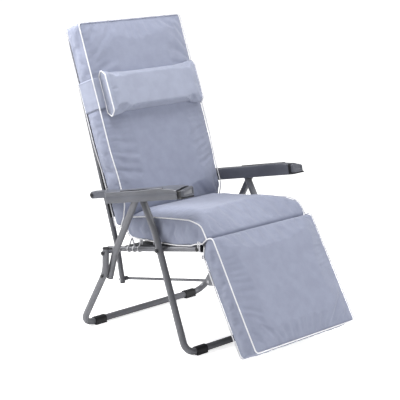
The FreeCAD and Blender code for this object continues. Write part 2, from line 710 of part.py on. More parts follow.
ties = []
for name, side in SIDES:
    for number, t in enumerate((70.0, S["footrest_length"] - 70.0)):
        tie = new_body("footrest_tie_%s_%d" % (name, number))
        corners = [(*on_rest(t - 12.0, high), 0), (*on_rest(t + 12.0, high), 0),
                   (*on_rest(t + 12.0, near), 0), (*on_rest(t - 12.0, near), 0)]
        x = side * (X_REST - 2.0) - 1.0
        pad(tie, "footrest_tie_pad_%s_%d" % (name, number),
            side_sketch(tie, "footrest_tie_profile_%s_%d" % (name, number), corners, x),
            "Sizes.sling_thickness")
        ties.append(tie)
node("footrest_ties", group("footrest_ties", ties))

# Plates behind the tubes that take the link rods, with their pins.
plates, pins = [], []
drop = ((REST_LINK[0] - REST_HINGE[0]) * REST_DOWN[0]
        + (REST_LINK[1] - REST_HINGE[1]) * REST_DOWN[1])
back_off = ((REST_LINK[0] - REST_HINGE[0]) * REST_FRONT[0]
            + (REST_LINK[1] - REST_HINGE[1]) * REST_FRONT[1])
for name, side in SIDES:
    blank = new_body("link_plate_blank_" + name)
    corners = [(*on_rest(drop - 26.0, -R_FOOT + 3.0), 0), (*on_rest(drop + 26.0, -R_FOOT + 3.0), 0),
               (*on_rest(drop + 12.0, back_off - 10.0), 9), (*on_rest(drop - 12.0, back_off - 10.0), 9)]
    pad(blank, "link_plate_pad_" + name,
        side_sketch(blank, "link_plate_profile_" + name, corners, side * X_REST - 2.0),
        "2 * Sizes.sling_thickness")
    plates.append(cut("link_plate_" + name, blank, [
        OUTER["footrest_tube_" + name],
        hole("link_plate_hole_" + name, REST_LINK, side, X_REST, PIN_FIT)]))
    pins.append(fuse("rest_link_pin_" + name, [
        across("rest_link_shank_" + name, REST_LINK, side, X_LINK - 6.0, X_REST + 2.0, PIN_FIT),
        across("rest_link_head_" + name, REST_LINK, side, X_LINK - 8.8, X_LINK - 5.8, 6.0),
        across("rest_link_nut_" + name, REST_LINK, side, X_REST + 2.0, X_REST + 4.0, 6.0)]))
node("footrest_link_plates", group("footrest_link_plates", plates))
node("footrest_link_pins", group("footrest_link_pins", pins))

# ================================================================== LINK BODIES
for name, side in SIDES:
    x = side * X_LINK
    start, finish = xyz(x, BACK_LINK), xyz(x, REST_LINK)
    rod = cylinder("link_rod_bar_" + name, start, finish - start,
                   start.distanceToPoint(finish), "Sizes.link_rod_diameter / 2")
    eyes = [across("link_eye_%s_%s" % (key, name), p, side, X_LINK - 5.5, X_LINK + 5.5, 8.5)
            for key, p in (("rear", BACK_LINK), ("front", REST_LINK))]
    holes = [hole("link_hole_%s_%s" % (key, name), p, side, X_LINK, PIN_RUN)
             for key, p in (("rear", BACK_LINK), ("front", REST_LINK))]
    node("link_rod_" + name, cut("link_rod_" + name,
                                 fuse("link_rod_solid_" + name, [rod] + eyes), holes))

# =============================================================== ARMREST BODIES
ARM_SLOPE = math.radians(11.6)


def on_arm(e, n):
    """Point e forward along the armrest from its pivot and n above its middle line."""
    return (ARM_PIVOT[0] - e * math.cos(ARM_SLOPE) + n * math.sin(ARM_SLOPE),
            ARM_PIVOT[1] + e * math.sin(ARM_SLOPE) + n * math.cos(ARM_SLOPE))


def arm_direction(edge):
    """True for an edge that runs along the armrest."""
    a, b = edge.Vertexes[0].Point, edge.Vertexes[-1].Point
    if a.distanceToPoint(b) < 60.0:
        return False
    run = (b - a).normalize()
    return abs(run.x) < 0.01


def arm_height(point):
    return ((point.y - ARM_PIVOT[0]) * math.sin(ARM_SLOPE)
            + (point.z - ARM_PIVOT[1]) * math.cos(ARM_SLOPE))


arm_end = S["armrest_length"]
width = S["armrest_width"]
wall = S["armrest_wall"]
for name, side in SIDES:
    x_low = min(side * X_ARM, side * (X_ARM + width))
    shell = new_body("armrest_shell_" + name)
    outline = [(*on_arm(46.0, -14.0), 0), (*on_arm(60.0, -14.0), 0),
               (*on_arm(104.0, -32.7), 18), (*on_arm(arm_end, -31.0), 3),
               (*on_arm(arm_end, 11.0), 5), (*on_arm(430.0, 14.7), 200),
               (*on_arm(92.0, 14.7), 120), (*on_arm(46.0, 13.0), 0)]
    body_pad = pad(shell, "armrest_outline_pad_" + name,
                   side_sketch(shell, "armrest_outline_" + name, outline, x_low),
                   "Sizes.armrest_width")
    fillet_where(shell, "armrest_round_" + name, body_pad, 9.0,
                 lambda e: arm_direction(e) and all(arm_height(v.Point) > 5.0
                                                    for v in e.Vertexes))
    block = [(*on_arm(-16.0, -14.0), 13), (*on_arm(70.0, -14.0), 0),
             (*on_arm(70.0, 12.0), 0), (*on_arm(-16.0, 14.0), 13)]
    x_block = min(side * X_ARM, side * (X_ARM + 34.5))
    sketch = side_sketch(shell, "armrest_block_" + name, block, x_block)
    pad(shell, "armrest_block_pad_" + name, sketch, "34.5")
    cavity = [(*on_arm(98.0, -60.0), 0), (*on_arm(arm_end - 8.0, -60.0), 0),
              (*on_arm(arm_end - 8.0, 11.0), 0), (*on_arm(98.0, 11.0), 0)]
    x_high = max(side * (X_ARM + wall), side * (X_ARM + width - wall))
    pocket(shell, "armrest_cavity_pocket_" + name,
           side_sketch(shell, "armrest_cavity_" + name, cavity, x_high),
           "Sizes.armrest_width - 2 * Sizes.armrest_wall")
    bore = shell.newObject("Sketcher::SketchObject", "armrest_bore_" + name)
    plane = [f for f in shell.Origin.OriginFeatures if f.Role == "YZ_Plane"][0]
    bore.AttachmentSupport = (plane, [""])
    bore.MapMode = "FlatFace"
    bore.AttachmentOffset = Placement(Vector(0, 0, max(side * X_ARM, side * (X_ARM + 34.5)) + 1),
                                      Rotation())
    bore.addGeometry(Part.Circle(Vector(ARM_PIVOT[0], ARM_PIVOT[1], 0), Vector(0, 0, 1),
                                 R_BOLT + S["running_clearance"]))
    pocket(shell, "armrest_bore_pocket_" + name, bore, "37")
    node("armrest_shell_" + name, shell)

    cap = new_body("armrest_cap_" + name)
    nose = [(*on_arm(arm_end + 13.0, -29.0), 2), (*on_arm(arm_end + 13.0, 10.0), 2),
            (*on_arm(arm_end + 25.0, 5.0), 5), (*on_arm(arm_end + 25.0, -27.0), 4)]
    nose_pad = pad(cap, "armrest_nose_pad_" + name,
                   side_sketch(cap, "armrest_nose_" + name, nose, x_low),
                   "Sizes.armrest_width")
    neck = [(*on_arm(arm_end, -26.0), 0), (*on_arm(arm_end, 7.0), 0),
            (*on_arm(arm_end + 15.0, 7.0), 0), (*on_arm(arm_end + 15.0, -26.0), 0)]
    pad(cap, "armrest_neck_pad_" + name,
        side_sketch(cap, "armrest_neck_" + name, neck, x_low + 3.0),
        "Sizes.armrest_width - 6")
    node("armrest_cap_" + name, cap)

    # Notched rack under the roof of the cavity, beside the strut.
    rack = new_body("armrest_rack_" + name)
    teeth = [(*on_arm(200.0, 11.0), 0), (*on_arm(200.0, -2.0), 0)]
    for i in range(7):
        e = 214.0 + 30.0 * i
        teeth += [(*on_arm(e, -2.0), 0), (*on_arm(e + 5.0, -9.0), 0),
                  (*on_arm(e + 11.0, -9.0), 0), (*on_arm(e + 16.0, -2.0), 0)]
    teeth += [(*on_arm(430.0, -2.0), 0), (*on_arm(430.0, 11.0), 0)]
    x_wall = X_ARM + width - wall
    x_rack = min(side * (x_wall - 3.5), side * x_wall)
    pad(rack, "armrest_rack_pad_" + name,
        side_sketch(rack, "armrest_rack_profile_" + name, teeth, x_rack), "3.5")
    node("armrest_rack_" + name, rack)

# ========================================================== shift, check, export
doc.recompute()
box = FreeCAD.BoundBox()
for obj in NODES:
    box.add(obj.Shape.optimalBoundingBox(True, False))
shift = Vector(-(box.XMin + box.XMax) / 2, -(box.YMin + box.YMax) / 2, -box.ZMin)
for obj in NODES:
    obj.Placement = Placement(shift, Rotation()).multiply(obj.Placement)
doc.recompute()

for obj in doc.Objects:
    if any(word in ("Invalid", "Error") for word in obj.State):
        raise RuntimeError("%s is %s" % (obj.Label, obj.State))
for obj in NODES:
    shape = obj.Shape
    if shape.isNull() or not shape.isValid() or not shape.Solids:
        raise RuntimeError("%s has no valid solid" % obj.Label)
    shape.exportStep("parts/%s.step" % obj.Label)

print("shift", tuple(round(v, 3) for v in shift))
print("size", round(box.XLength, 2), round(box.YLength, 2), round(box.ZLength, 2))
for name, p in (("back_hinge", BACK_HINGE), ("rest_hinge", REST_HINGE),
                ("front_leg_pivot", FRONT_LEG_PIVOT), ("rear_leg_pivot", REAR_LEG_PIVOT),
                ("apex", APEX), ("strut_pin", STRUT_PIN), ("back_link", BACK_LINK),
                ("rest_link", REST_LINK), ("arm_pivot", ARM_PIVOT),
                ("front_floor", FRONT_FLOOR), ("rear_floor", REAR_FLOOR)):
    print("pivot", name, round(p[0] + shift.y, 3), round(p[1] + shift.z, 3))
print("planes", X_LINK, X_BACK, X_RAIL, X_FRONT, X_STRUT, X_REAR, X_ARM)
print("nodes", len(NODES))
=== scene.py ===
"""Looks of the padded folding relaxer chair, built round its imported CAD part."""

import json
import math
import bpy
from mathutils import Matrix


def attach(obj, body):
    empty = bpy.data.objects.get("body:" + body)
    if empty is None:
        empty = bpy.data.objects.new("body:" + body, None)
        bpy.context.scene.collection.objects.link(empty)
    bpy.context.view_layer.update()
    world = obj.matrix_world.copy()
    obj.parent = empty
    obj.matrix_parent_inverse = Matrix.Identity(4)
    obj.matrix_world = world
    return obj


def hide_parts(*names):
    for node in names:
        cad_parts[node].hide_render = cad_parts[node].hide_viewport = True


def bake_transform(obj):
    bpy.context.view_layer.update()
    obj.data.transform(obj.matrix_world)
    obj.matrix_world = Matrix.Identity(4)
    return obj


bl_info = {
    "name": "Padded folding relaxer",
    "version": (1, 0, 0),
    "blender": (4, 5, 0),
    "location": "View3D > Sidebar > Relaxer",
    "description": "Soft pieces, mouldings, finishes and studio of a folding relaxer chair",
    "category": "Object",
}

import bmesh
import bpy
import numpy as np
from mathutils import Quaternion, Vector, kdtree

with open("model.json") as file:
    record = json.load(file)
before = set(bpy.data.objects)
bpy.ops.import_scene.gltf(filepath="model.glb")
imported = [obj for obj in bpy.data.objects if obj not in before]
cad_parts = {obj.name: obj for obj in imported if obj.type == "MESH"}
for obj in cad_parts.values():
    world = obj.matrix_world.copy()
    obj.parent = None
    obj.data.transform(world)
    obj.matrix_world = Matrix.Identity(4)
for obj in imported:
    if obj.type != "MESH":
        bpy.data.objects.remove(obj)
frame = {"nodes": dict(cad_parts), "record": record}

# ------------------------------------------------------------------ row frame
# Side views are (y, z) in millimetres before the row's origin shift SHIFT_Y.
SHIFT_Y = -5.097
BACK_FOOT = (167.0, 502.0)          # foot of the back cushion's front face
REST_HINGE = (-221.0, 403.5)
BACK_HINGE = (243.0, 315.5)
ARM_PIVOT = (308.5, 517.0)


def side(y, z):
    """(y, z) in metres of a side-view point given in millimetres."""
    return ((y + SHIFT_Y) / 1000.0, z / 1000.0)


def turned(origin, along_dir, across_dir, a, b):
    """Point a along one direction and b along the other from an origin."""
    return (origin[0] + a * along_dir[0] + b * across_dir[0],
            origin[1] + a * along_dir[1] + b * across_dir[1])


LEAN = math.radians(19.9)
BACK_UP = (math.sin(LEAN), math.cos(LEAN))
BACK_FRONT = (-math.cos(LEAN), math.sin(LEAN))
TILT = math.radians(29.2)
REST_DOWN = (-math.sin(TILT), -math.cos(TILT))
REST_FRONT = (-math.cos(TILT), math.sin(TILT))
ARM = math.radians(11.6)
ARM_FORWARD = (-math.cos(ARM), math.sin(ARM))
ARM_UP = (math.sin(ARM), math.cos(ARM))


def on_back(s, n):
    """Point s up the back cushion's front face and n in front of it."""
    return turned(BACK_FOOT, BACK_UP, BACK_FRONT, s, n)


def on_rest(t, n):
    """Point t down the footrest from its hinge and n in front of it."""
    return turned(REST_HINGE, REST_DOWN, REST_FRONT, t, n)


def on_arm(e, n):
    """Point e forward of the armrest's rear pivot and n above it."""
    return turned(ARM_PIVOT, ARM_FORWARD, ARM_UP, e, n)


def rail_z(y):
    """Height of the seat rail's axis at y."""
    slope = (REST_HINGE[1] - BACK_HINGE[1]) / (REST_HINGE[0] - BACK_HINGE[0])
    return REST_HINGE[1] + (y - REST_HINGE[0]) * slope


# -------------------------------------------------------------------- settings


def amount(name, description, default, most, **more):
    """Float property from 0 to most."""
    return bpy.props.FloatProperty(name=name, description=description, default=default,
                                   min=0.0, max=most, **more)


def colour(name, description, default):
    """Colour property."""
    return bpy.props.FloatVectorProperty(name=name, description=description, default=default,
                                         size=3, min=0.0, max=1.0, subtype="COLOR")


class RelaxerFabric(bpy.types.PropertyGroup):
    voxel: amount("Voxel", "Mesh size of the stuffed pieces", 0.0065, 0.02, unit="LENGTH")
    pressure: amount("Pressure", "Pressure of the filling on the cloth", 4.0, 20.0)
    frames: bpy.props.IntProperty(name="Frames", description="Length of the cloth simulation",
                                  default=20, min=2, max=60)
    spare_cloth: amount("Spare cloth", "Cloth beyond the form that it covers", 0.02, 0.1,
                        subtype="FACTOR")
    piping: amount("Piping radius", "Radius of the white piping", 0.0023, 0.006,
                   unit="LENGTH")


class RelaxerFinish(bpy.types.PropertyGroup):
    cushion_dark: colour("Cushion, dark", "Darker tone of the cushions", (0.262, 0.284, 0.376))
    cushion_light: colour("Cushion, light", "Lighter tone of the cushions",
                          (0.288, 0.312, 0.410))
    pillow_dark: colour("Pillow, dark", "Darker tone of the head pillow", (0.320, 0.345, 0.440))
    pillow_light: colour("Pillow, light", "Lighter tone of the head pillow",
                         (0.350, 0.376, 0.478))
    band_dark: colour("Band, dark", "Darker tone of the pillow's band", (0.310, 0.334, 0.428))
    band_light: colour("Band, light", "Lighter tone of the pillow's band",
                       (0.340, 0.366, 0.466))
    frame_dark: colour("Frame, dark", "Darker tone of the painted tubes", (0.178, 0.180, 0.198))
    frame_light: colour("Frame, light", "Lighter tone of the painted tubes",
                        (0.212, 0.214, 0.234))
    armrest_dark: colour("Armrest, dark", "Darker tone of the armrests", (0.106, 0.111, 0.131))
    armrest_light: colour("Armrest, light", "Lighter tone of the armrests",
                          (0.130, 0.136, 0.159))


class RelaxerStudio(bpy.types.PropertyGroup):
    key: amount("Key light", "Power of the light at the rear right", 34.0, 500.0, unit="POWER")
    fill: amount("Fill light", "Power of the light in front", 67.0, 500.0, unit="POWER")
    top: amount("Top light", "Power of the light overhead", 62.0, 500.0, unit="POWER")
    world: amount("World", "Strength of the light from all round", 0.35, 2.0)
    floor_glow: amount("Floor glow", "Glow of the floor as the camera sees it", 0.75, 2.0)
    floor_bounce: amount("Floor bounce", "Glow of the floor that lights the chair", 0.08, 2.0)
    lens: bpy.props.FloatProperty(name="Lens", description="Focal length in millimetres",
                                  default=118.2, min=20.0, max=300.0)
    place: bpy.props.FloatVectorProperty(name="Camera place", description="Where the camera is",
                                         default=(-3.281, -3.393, 1.607), subtype="TRANSLATION")
    yaw: amount("Camera yaw", "Turn from the +Y axis", math.radians(43.85), math.pi,
                unit="ROTATION")
    pitch: amount("Camera pitch", "Tilt below level", math.radians(13.2), math.pi,
                  unit="ROTATION")
    roll: amount("Camera roll", "Turn about the line of sight", math.radians(0.44), math.pi,
                 unit="ROTATION")


# ------------------------------------------------------------------ node groups


def node_group(kind, name, inputs, outputs):
    """New node group with named sockets [(name, type)]; returns it and its two ends."""
    group = bpy.data.node_groups.new(name, kind)
    for label, socket in inputs:
        group.interface.new_socket(label, in_out="INPUT", socket_type=socket)
    for label, socket in outputs:
        group.interface.new_socket(label, in_out="OUTPUT", socket_type=socket)
    given = group.nodes.new("NodeGroupInput").outputs
    made = group.nodes.new("NodeGroupOutput").inputs
    return group, given, made


def weave_group():
    """Height of a plain weave: two crossed sets of fine waves."""
    group, given, made = node_group(
        "ShaderNodeTree", "plain_weave",
        [("Vector", "NodeSocketVector"), ("Threads", "NodeSocketFloat")],
        [("Height", "NodeSocketFloat")])
    nodes, links = group.nodes, group.links
    add = nodes.new("ShaderNodeMath")
    add.operation = "ADD"
    for number, direction in enumerate(("X", "Z")):
        wave = nodes.new("ShaderNodeTexWave")
        wave.bands_direction = direction
        wave.inputs["Distortion"].default_value = 0.6
        wave.inputs["Detail"].default_value = 1.0
        links.new(given["Vector"], wave.inputs["Vector"])
        links.new(given["Threads"], wave.inputs["Scale"])
        links.new(wave.outputs["Fac"], add.inputs[number])
    links.new(add.outputs["Value"], made["Height"])
    return group


def mottle_group():
    """Cloudy colour between a dark and a light tone, and the cloud itself."""
    group, given, made = node_group(
        "ShaderNodeTree", "mottle",
        [("Vector", "NodeSocketVector"), ("Scale", "NodeSocketFloat"),
         ("Detail", "NodeSocketFloat"), ("Dark", "NodeSocketColor"),
         ("Light", "NodeSocketColor")],
        [("Color", "NodeSocketColor"), ("Cloud", "NodeSocketFloat")])
    nodes, links = group.nodes, group.links
    cloud = nodes.new("ShaderNodeTexNoise")
    for label in ("Vector", "Scale", "Detail"):
        links.new(given[label], cloud.inputs[label])
    steeper = nodes.new("ShaderNodeMapRange")
    steeper.inputs["From Min"].default_value = 0.35
    steeper.inputs["From Max"].default_value = 0.65
    mix = nodes.new("ShaderNodeMixRGB")
    links.new(cloud.outputs["Fac"], steeper.inputs["Value"])
    links.new(steeper.outputs["Result"], mix.inputs["Fac"])
    links.new(given["Dark"], mix.inputs["Color1"])
    links.new(given["Light"], mix.inputs["Color2"])
    links.new(mix.outputs["Color"], made["Color"])
    links.new(cloud.outputs["Fac"], made["Cloud"])
    return group


def grain_group():
    """Height of the fine grain of a painted or moulded surface."""
    group, given, made = node_group(
        "ShaderNodeTree", "fine_grain",
        [("Vector", "NodeSocketVector"), ("Scale", "NodeSocketFloat")],
        [("Height", "NodeSocketFloat")])
    fine = group.nodes.new("ShaderNodeTexNoise")
    fine.inputs["Detail"].default_value = 2.0
    for label in ("Vector", "Scale"):
        group.links.new(given[label], fine.inputs[label])
    group.links.new(fine.outputs["Fac"], made["Height"])
    return group


def placed(mat, group, **values):
    """Places a node group in a material, on object coordinates, with its own values."""
    nodes = mat.node_tree.nodes
    node = nodes.new("ShaderNodeGroup")
    node.node_tree = group
    for label, value in values.items():
        node.inputs[label].default_value = value
    coord = nodes.new("ShaderNodeTexCoord")
    mat.node_tree.links.new(coord.outputs["Object"], node.inputs["Vector"])
    return node


# ------------------------------------------------------------------- materials


def new_material(name):
    """Material with its nodes, links and Principled shader."""
    mat = bpy.data.materials.new(name)
    mat.use_nodes = True
    nodes = mat.node_tree.nodes
    return mat, nodes, mat.node_tree.links, nodes["Principled BSDF"]


def bump(nodes, links, height, strength, distance):
    """Normal of a height."""
    node = nodes.new("ShaderNodeBump")
    node.inputs["Strength"].default_value = strength
    node.inputs["Distance"].default_value = distance
    links.new(height, node.inputs["Height"])
    return node.outputs["Normal"]


def level(nodes, links, value, low, high):
    """A value from 0 to 1 brought between low and high."""
    node = nodes.new("ShaderNodeMapRange")
    node.inputs["To Min"].default_value = low
    node.inputs["To Max"].default_value = high
    links.new(value, node.inputs["Value"])
    return node.outputs["Result"]


def fabric(name, dark, light, threads=160.0, strength=0.25, roughness=0.85):
    """Woven cloth with a soft sheen."""
    mat, nodes, links, bsdf = new_material(name)
    tone = placed(mat, GROUPS["mottle"], Scale=26.0, Detail=4.0,
                  Dark=(*dark, 1.0), Light=(*light, 1.0))
    links.new(tone.outputs["Color"], bsdf.inputs["Base Color"])
    bsdf.inputs["Roughness"].default_value = roughness
    bsdf.inputs["Sheen Weight"].default_value = 0.25
    bsdf.inputs["Sheen Roughness"].default_value = 0.5
    bsdf.inputs["Specular IOR Level"].default_value = 0.2
    cloth = placed(mat, GROUPS["weave"], Threads=threads)
    links.new(bump(nodes, links, cloth.outputs["Height"], strength, 0.0006),
              bsdf.inputs["Normal"])
    return mat


def coated(name, dark, light, roughness, grain, strength, metallic=0.0):
    """Painted, moulded or plated surface with a fine grain."""
    mat, nodes, links, bsdf = new_material(name)
    tone = placed(mat, GROUPS["mottle"], Scale=9.0, Detail=3.0,
                  Dark=(*dark, 1.0), Light=(*light, 1.0))
    links.new(tone.outputs["Color"], bsdf.inputs["Base Color"])
    links.new(level(nodes, links, tone.outputs["Cloud"], roughness * 0.85, roughness * 1.15),
              bsdf.inputs["Roughness"])
    bsdf.inputs["Metallic"].default_value = metallic
    fine = placed(mat, GROUPS["grain"], Scale=grain)
    links.new(bump(nodes, links, fine.outputs["Height"], strength, 0.0004),
              bsdf.inputs["Normal"])
    return mat


GROUPS = {}
MATERIALS = {}


def make_materials():
    """Makes every finish once and gives each CAD node the finish of its slot."""
    finish = bpy.context.scene.relaxer_finish
    GROUPS.update(weave=weave_group(), mottle=mottle_group(), grain=grain_group())
    MATERIALS.update(
        cushion_fabric=fabric("cushion_fabric", finish.cushion_dark, finish.cushion_light),
        pillow_fabric=fabric("pillow_fabric", finish.pillow_dark, finish.pillow_light),
        band_fabric=fabric("band_fabric", finish.band_dark, finish.band_light),
        piping_cloth=fabric("piping_cloth", (0.80, 0.80, 0.82), (0.90, 0.90, 0.92), 420.0, 0.2),
        tie_webbing=fabric("tie_webbing", (0.70, 0.70, 0.73), (0.82, 0.82, 0.85), 300.0, 0.4),
        sling_fabric=fabric("sling_fabric", (0.020, 0.021, 0.024), (0.034, 0.035, 0.040),
                            90.0, 0.8, 0.7),
        powder_coat=coated("powder_coat", finish.frame_dark, finish.frame_light,
                           0.38, 900.0, 0.12, 0.25),
        armrest_plastic=coated("armrest_plastic", finish.armrest_dark, finish.armrest_light,
                               0.34, 1400.0, 0.10),
        black_plastic=coated("black_plastic", (0.012, 0.012, 0.014), (0.020, 0.020, 0.023),
                             0.45, 1200.0, 0.15),
        zinc_steel=coated("zinc_steel", (0.34, 0.34, 0.36), (0.42, 0.42, 0.44),
                          0.30, 700.0, 0.08, 0.9),
    )
    slots = {s["node"]: s["material_slot"] for s in frame["record"]["subparts"]}
    for name, obj in frame["nodes"].items():
        obj.data.materials.clear()
        obj.data.materials.append(MATERIALS[slots[name]])


def smooth_cad():
    """Round CAD faces shade smooth, and their real edges stay sharp."""
    for obj in frame["nodes"].values():
        mesh = obj.data
        mesh.polygons.foreach_set("use_smooth", [True] * len(mesh.polygons))
        mesh.set_sharp_from_angle(angle=math.radians(35.0))


# --------------------------------------------------------------- mesh helpers


def rounded(corners, step=0.006):
    """Closed outline [(y, z)] in metres from corners [(y, z, radius)] in millimetres."""
    points = [np.array(side(y, z)) for y, z, _ in corners]
    radii = [c[2] / 1000.0 for c in corners]
    out = []
    count = len(points)
    for i in range(count):
        p, r = points[i], radii[i]
        a, b = points[i - 1] - p, points[(i + 1) % count] - p
        la, lb = np.linalg.norm(a), np.linalg.norm(b)
        a, b = a / la, b / lb
        if r <= 0:
            out.append(p)
            continue
        half = math.acos(max(-1.0, min(1.0, float(a @ b)))) / 2
        reach = min(r / math.tan(half), 0.49 * la, 0.49 * lb)
        r = reach * math.tan(half)
        middle = (a + b) / np.linalg.norm(a + b)
        centre = p + middle * (r / math.sin(half))
        start, end = p + a * reach - centre, p + b * reach - centre
        sweep = math.pi - 2 * half
        turn = math.copysign(1.0, start[0] * end[1] - start[1] * end[0])
        for k in range(7):
            angle = turn * sweep * k / 6
            c, s = math.cos(angle), math.sin(angle)
            out.append(centre + np.array([c * start[0] - s * start[1],
                                          s * start[0] + c * start[1]]))
    return resample(np.array(out), step, True)


def resample(points, step, closed):
    """Evenly spaced points along a line."""
    loop = np.vstack([points, points[:1]]) if closed else points
    lengths = np.linalg.norm(np.diff(loop, axis=0), axis=1)
    at = np.concatenate([[0.0], np.cumsum(lengths)])
    count = max(4, int(round(at[-1] / step)))
    want = np.linspace(0.0, at[-1], count + 1)
    if closed:
        want = want[:-1]
    return np.column_stack([np.interp(want, at, loop[:, k]) for k in range(loop.shape[1])])


def add_mesh(name, verts, faces, material, smooth=True):
    mesh = bpy.data.meshes.new(name)
    mesh.from_pydata([tuple(map(float, v)) for v in verts], [], faces)
    mesh.update()
    fix = bmesh.new()
    fix.from_mesh(mesh)
    bmesh.ops.recalc_face_normals(fix, faces=fix.faces)
    fix.to_mesh(mesh)
    fix.free()
    obj = bpy.data.objects.new(name, mesh)
    bpy.context.collection.objects.link(obj)
    mesh.materials.append(material)
    if smooth:
        mesh.polygons.foreach_set("use_smooth", [True] * len(mesh.polygons))
    return obj


def prism(name, outline, x0, x1, material):
    """Closed solid between x0 and x1 with a side outline."""
    n = len(outline)
    verts = [(x, y, z) for x in (x0, x1) for y, z in outline]
    faces = [[i, (i + 1) % n, n + (i + 1) % n, n + i] for i in range(n)]
    faces += [list(range(n)), list(range(n, 2 * n))]
    return add_mesh(name, verts, faces, material)


def tube_mesh(points, radius, closed, sides=10):
    """Vertices and faces of a round bead along points."""
    points = np.asarray(points, float)
    n = len(points)
    if closed:
        tangent = np.roll(points, -1, 0) - np.roll(points, 1, 0)
    else:
        tangent = np.gradient(points, axis=0)
    tangent /= np.linalg.norm(tangent, axis=1)[:, None]
    normal = np.cross(tangent[0], [1.0, 0.0, 0.0])
    if np.linalg.norm(normal) < 0.1:
        normal = np.cross(tangent[0], [0.0, 0.0, 1.0])
    normals = []
    for t in tangent:
        normal = normal - t * (normal @ t)
        normal /= np.linalg.norm(normal)
        normals.append(normal)
    verts, faces = [], []
    for p, t, u in zip(points, tangent, normals):
        v = np.cross(t, u)
        for k in range(sides):
            a = 2 * math.pi * k / sides
            verts.append(p + radius * (math.cos(a) * u + math.sin(a) * v))
    rings = n if closed else n - 1
    for i in range(rings):
        for k in range(sides):
            a, b = i * sides, ((i + 1) % n) * sides
            faces.append([a + k, a + (k + 1) % sides, b + (k + 1) % sides, b + k])
    if not closed:
        faces += [list(range(sides)), list(range((n - 1) * sides, n * sides))]
    return verts, faces


def beads(name, lines, radius, material):
    """One mesh of several round beads; lines is [(points, closed)]."""
    verts, faces = [], []
    for points, closed in lines:
        v, f = tube_mesh(points, radius, closed)
        faces += [[i + len(verts) for i in face] for face in f]
        verts += v
    return add_mesh(name, verts, faces, material)


def at_x(outline, x):
    """Side-view outline as a loop of points at one x."""
    return np.column_stack([np.full(len(outline), x), outline])


def loft(name, rings, material, caps=(True, True), closed=True):
    """Skin through rings of equal length."""
    n = len(rings[0])
    verts = [v for ring in rings for v in ring]
    faces = []
    last = n if closed else n - 1
    for i in range(len(rings) - 1):
        for k in range(last):
            a, b = i * n, (i + 1) * n
            faces.append([a + k, a + (k + 1) % n, b + (k + 1) % n, b + k])
    if caps[0]:
        faces.append(list(range(n)))
    if caps[1]:
        faces.append(list(range((len(rings) - 1) * n, len(rings) * n)))
    return add_mesh(name, verts, faces, material)


def apply_modifiers(obj):
    """Bakes every modifier into the object's mesh."""
    graph = bpy.context.evaluated_depsgraph_get()
    mesh = bpy.data.meshes.new_from_object(obj.evaluated_get(graph), depsgraph=graph)
    mesh.name = obj.name
    obj.modifiers.clear()
    old = obj.data
    obj.data = mesh
    bpy.data.meshes.remove(old)
    mesh.polygons.foreach_set("use_smooth", [True] * len(mesh.polygons))
    return obj


def coordinates(mesh):
    """Vertex places of a mesh as an array."""
    co = np.empty(len(mesh.vertices) * 3)
    mesh.vertices.foreach_get("co", co)
    return co.reshape(-1, 3)


def reshape(obj, extra):
    """Widens a mesh in place."""
    obj.data.vertices.foreach_set("co", widened(coordinates(obj.data), extra).ravel())
    obj.data.update()


# ------------------------------------------------------------------ padding


def fade(value, start, end):
    """Smooth step from 0 at start to 1 at end."""
    t = np.clip((np.asarray(value, float) - start) / (end - start), 0.0, 1.0)
    return t * t * (3 - 2 * t)


def widened(points, extra):
    """Moves points sideways by extra(y, z) at the side panels, in proportion inside."""
    points = np.array(points, float)
    share = np.clip(np.abs(points[:, 0]) / SIDE, 0.0, 1.0)
    points[:, 0] += np.sign(points[:, 0]) * share * extra(points[:, 1], points[:, 2])
    return points


def stuffed(obj, seams, cap, limit=None, voxel=None):
    """Remeshes a closed form, blows it up as cloth held at its seams, and bakes it."""
    settings = bpy.context.scene.relaxer_fabric
    remesh = obj.modifiers.new("Voxels", "REMESH")
    remesh.mode = "VOXEL"
    remesh.voxel_size = voxel or settings.voxel
    apply_modifiers(obj)
    ease = obj.modifiers.new("Ease", "SMOOTH")
    ease.factor = 0.5
    ease.iterations = 4
    apply_modifiers(obj)
    tree = kdtree.KDTree(sum(len(line) for line in seams))
    for i, p in enumerate(np.vstack(seams)):
        tree.insert(Vector(p), i)
    tree.balance()
    rest = coordinates(obj.data)
    group = obj.vertex_groups.new(name="seams")
    for i, p in enumerate(rest):
        weight = 1.0 - fade(tree.find(Vector(p))[2], 0.007, 0.018)
        if weight > 0:
            group.add([i], float(weight), "REPLACE")
    cloth = obj.modifiers.new("Cloth", "CLOTH")
    s = cloth.settings
    s.quality = 5
    s.mass = 0.3
    s.tension_stiffness = 12.0
    s.compression_stiffness = 12.0
    s.shear_stiffness = 5.0
    s.bending_stiffness = 0.8
    s.use_pressure = True
    s.uniform_pressure_force = settings.pressure
    s.shrink_min = -settings.spare_cloth
    s.vertex_group_mass = "seams"
    s.effector_weights.gravity = 0.0
    cloth.point_cache.frame_start = 1
    cloth.point_cache.frame_end = settings.frames
    scene = bpy.context.scene
    for number in range(1, settings.frames + 1):
        scene.frame_set(number)
    apply_modifiers(obj)
    scene.frame_set(1)
    shift = coordinates(obj.data) - rest
    reach = np.linalg.norm(shift, axis=1)
    moved = rest + shift * np.minimum(1.0, cap / np.maximum(reach, 1e-9))[:, None]
    if limit is not None:
        moved = limit(moved)
    obj.data.vertices.foreach_set("co", moved.ravel())
    obj.data.update()
    obj.vertex_groups.clear()
    finer = obj.modifiers.new("Finer", "SUBSURF")
    finer.levels = 1
    finer.render_levels = 1
    apply_modifiers(obj)
    return obj


def kept_above(points, foot, up, least):
    """Pushes points back over a plane through the side-view point `foot`."""
    origin, normal = np.array(side(*foot)), np.array(up)
    height = (points[:, 1:] - origin) @ normal
    points[:, 1:] += np.maximum(0.0, least - height)[:, None] * normal
    return points


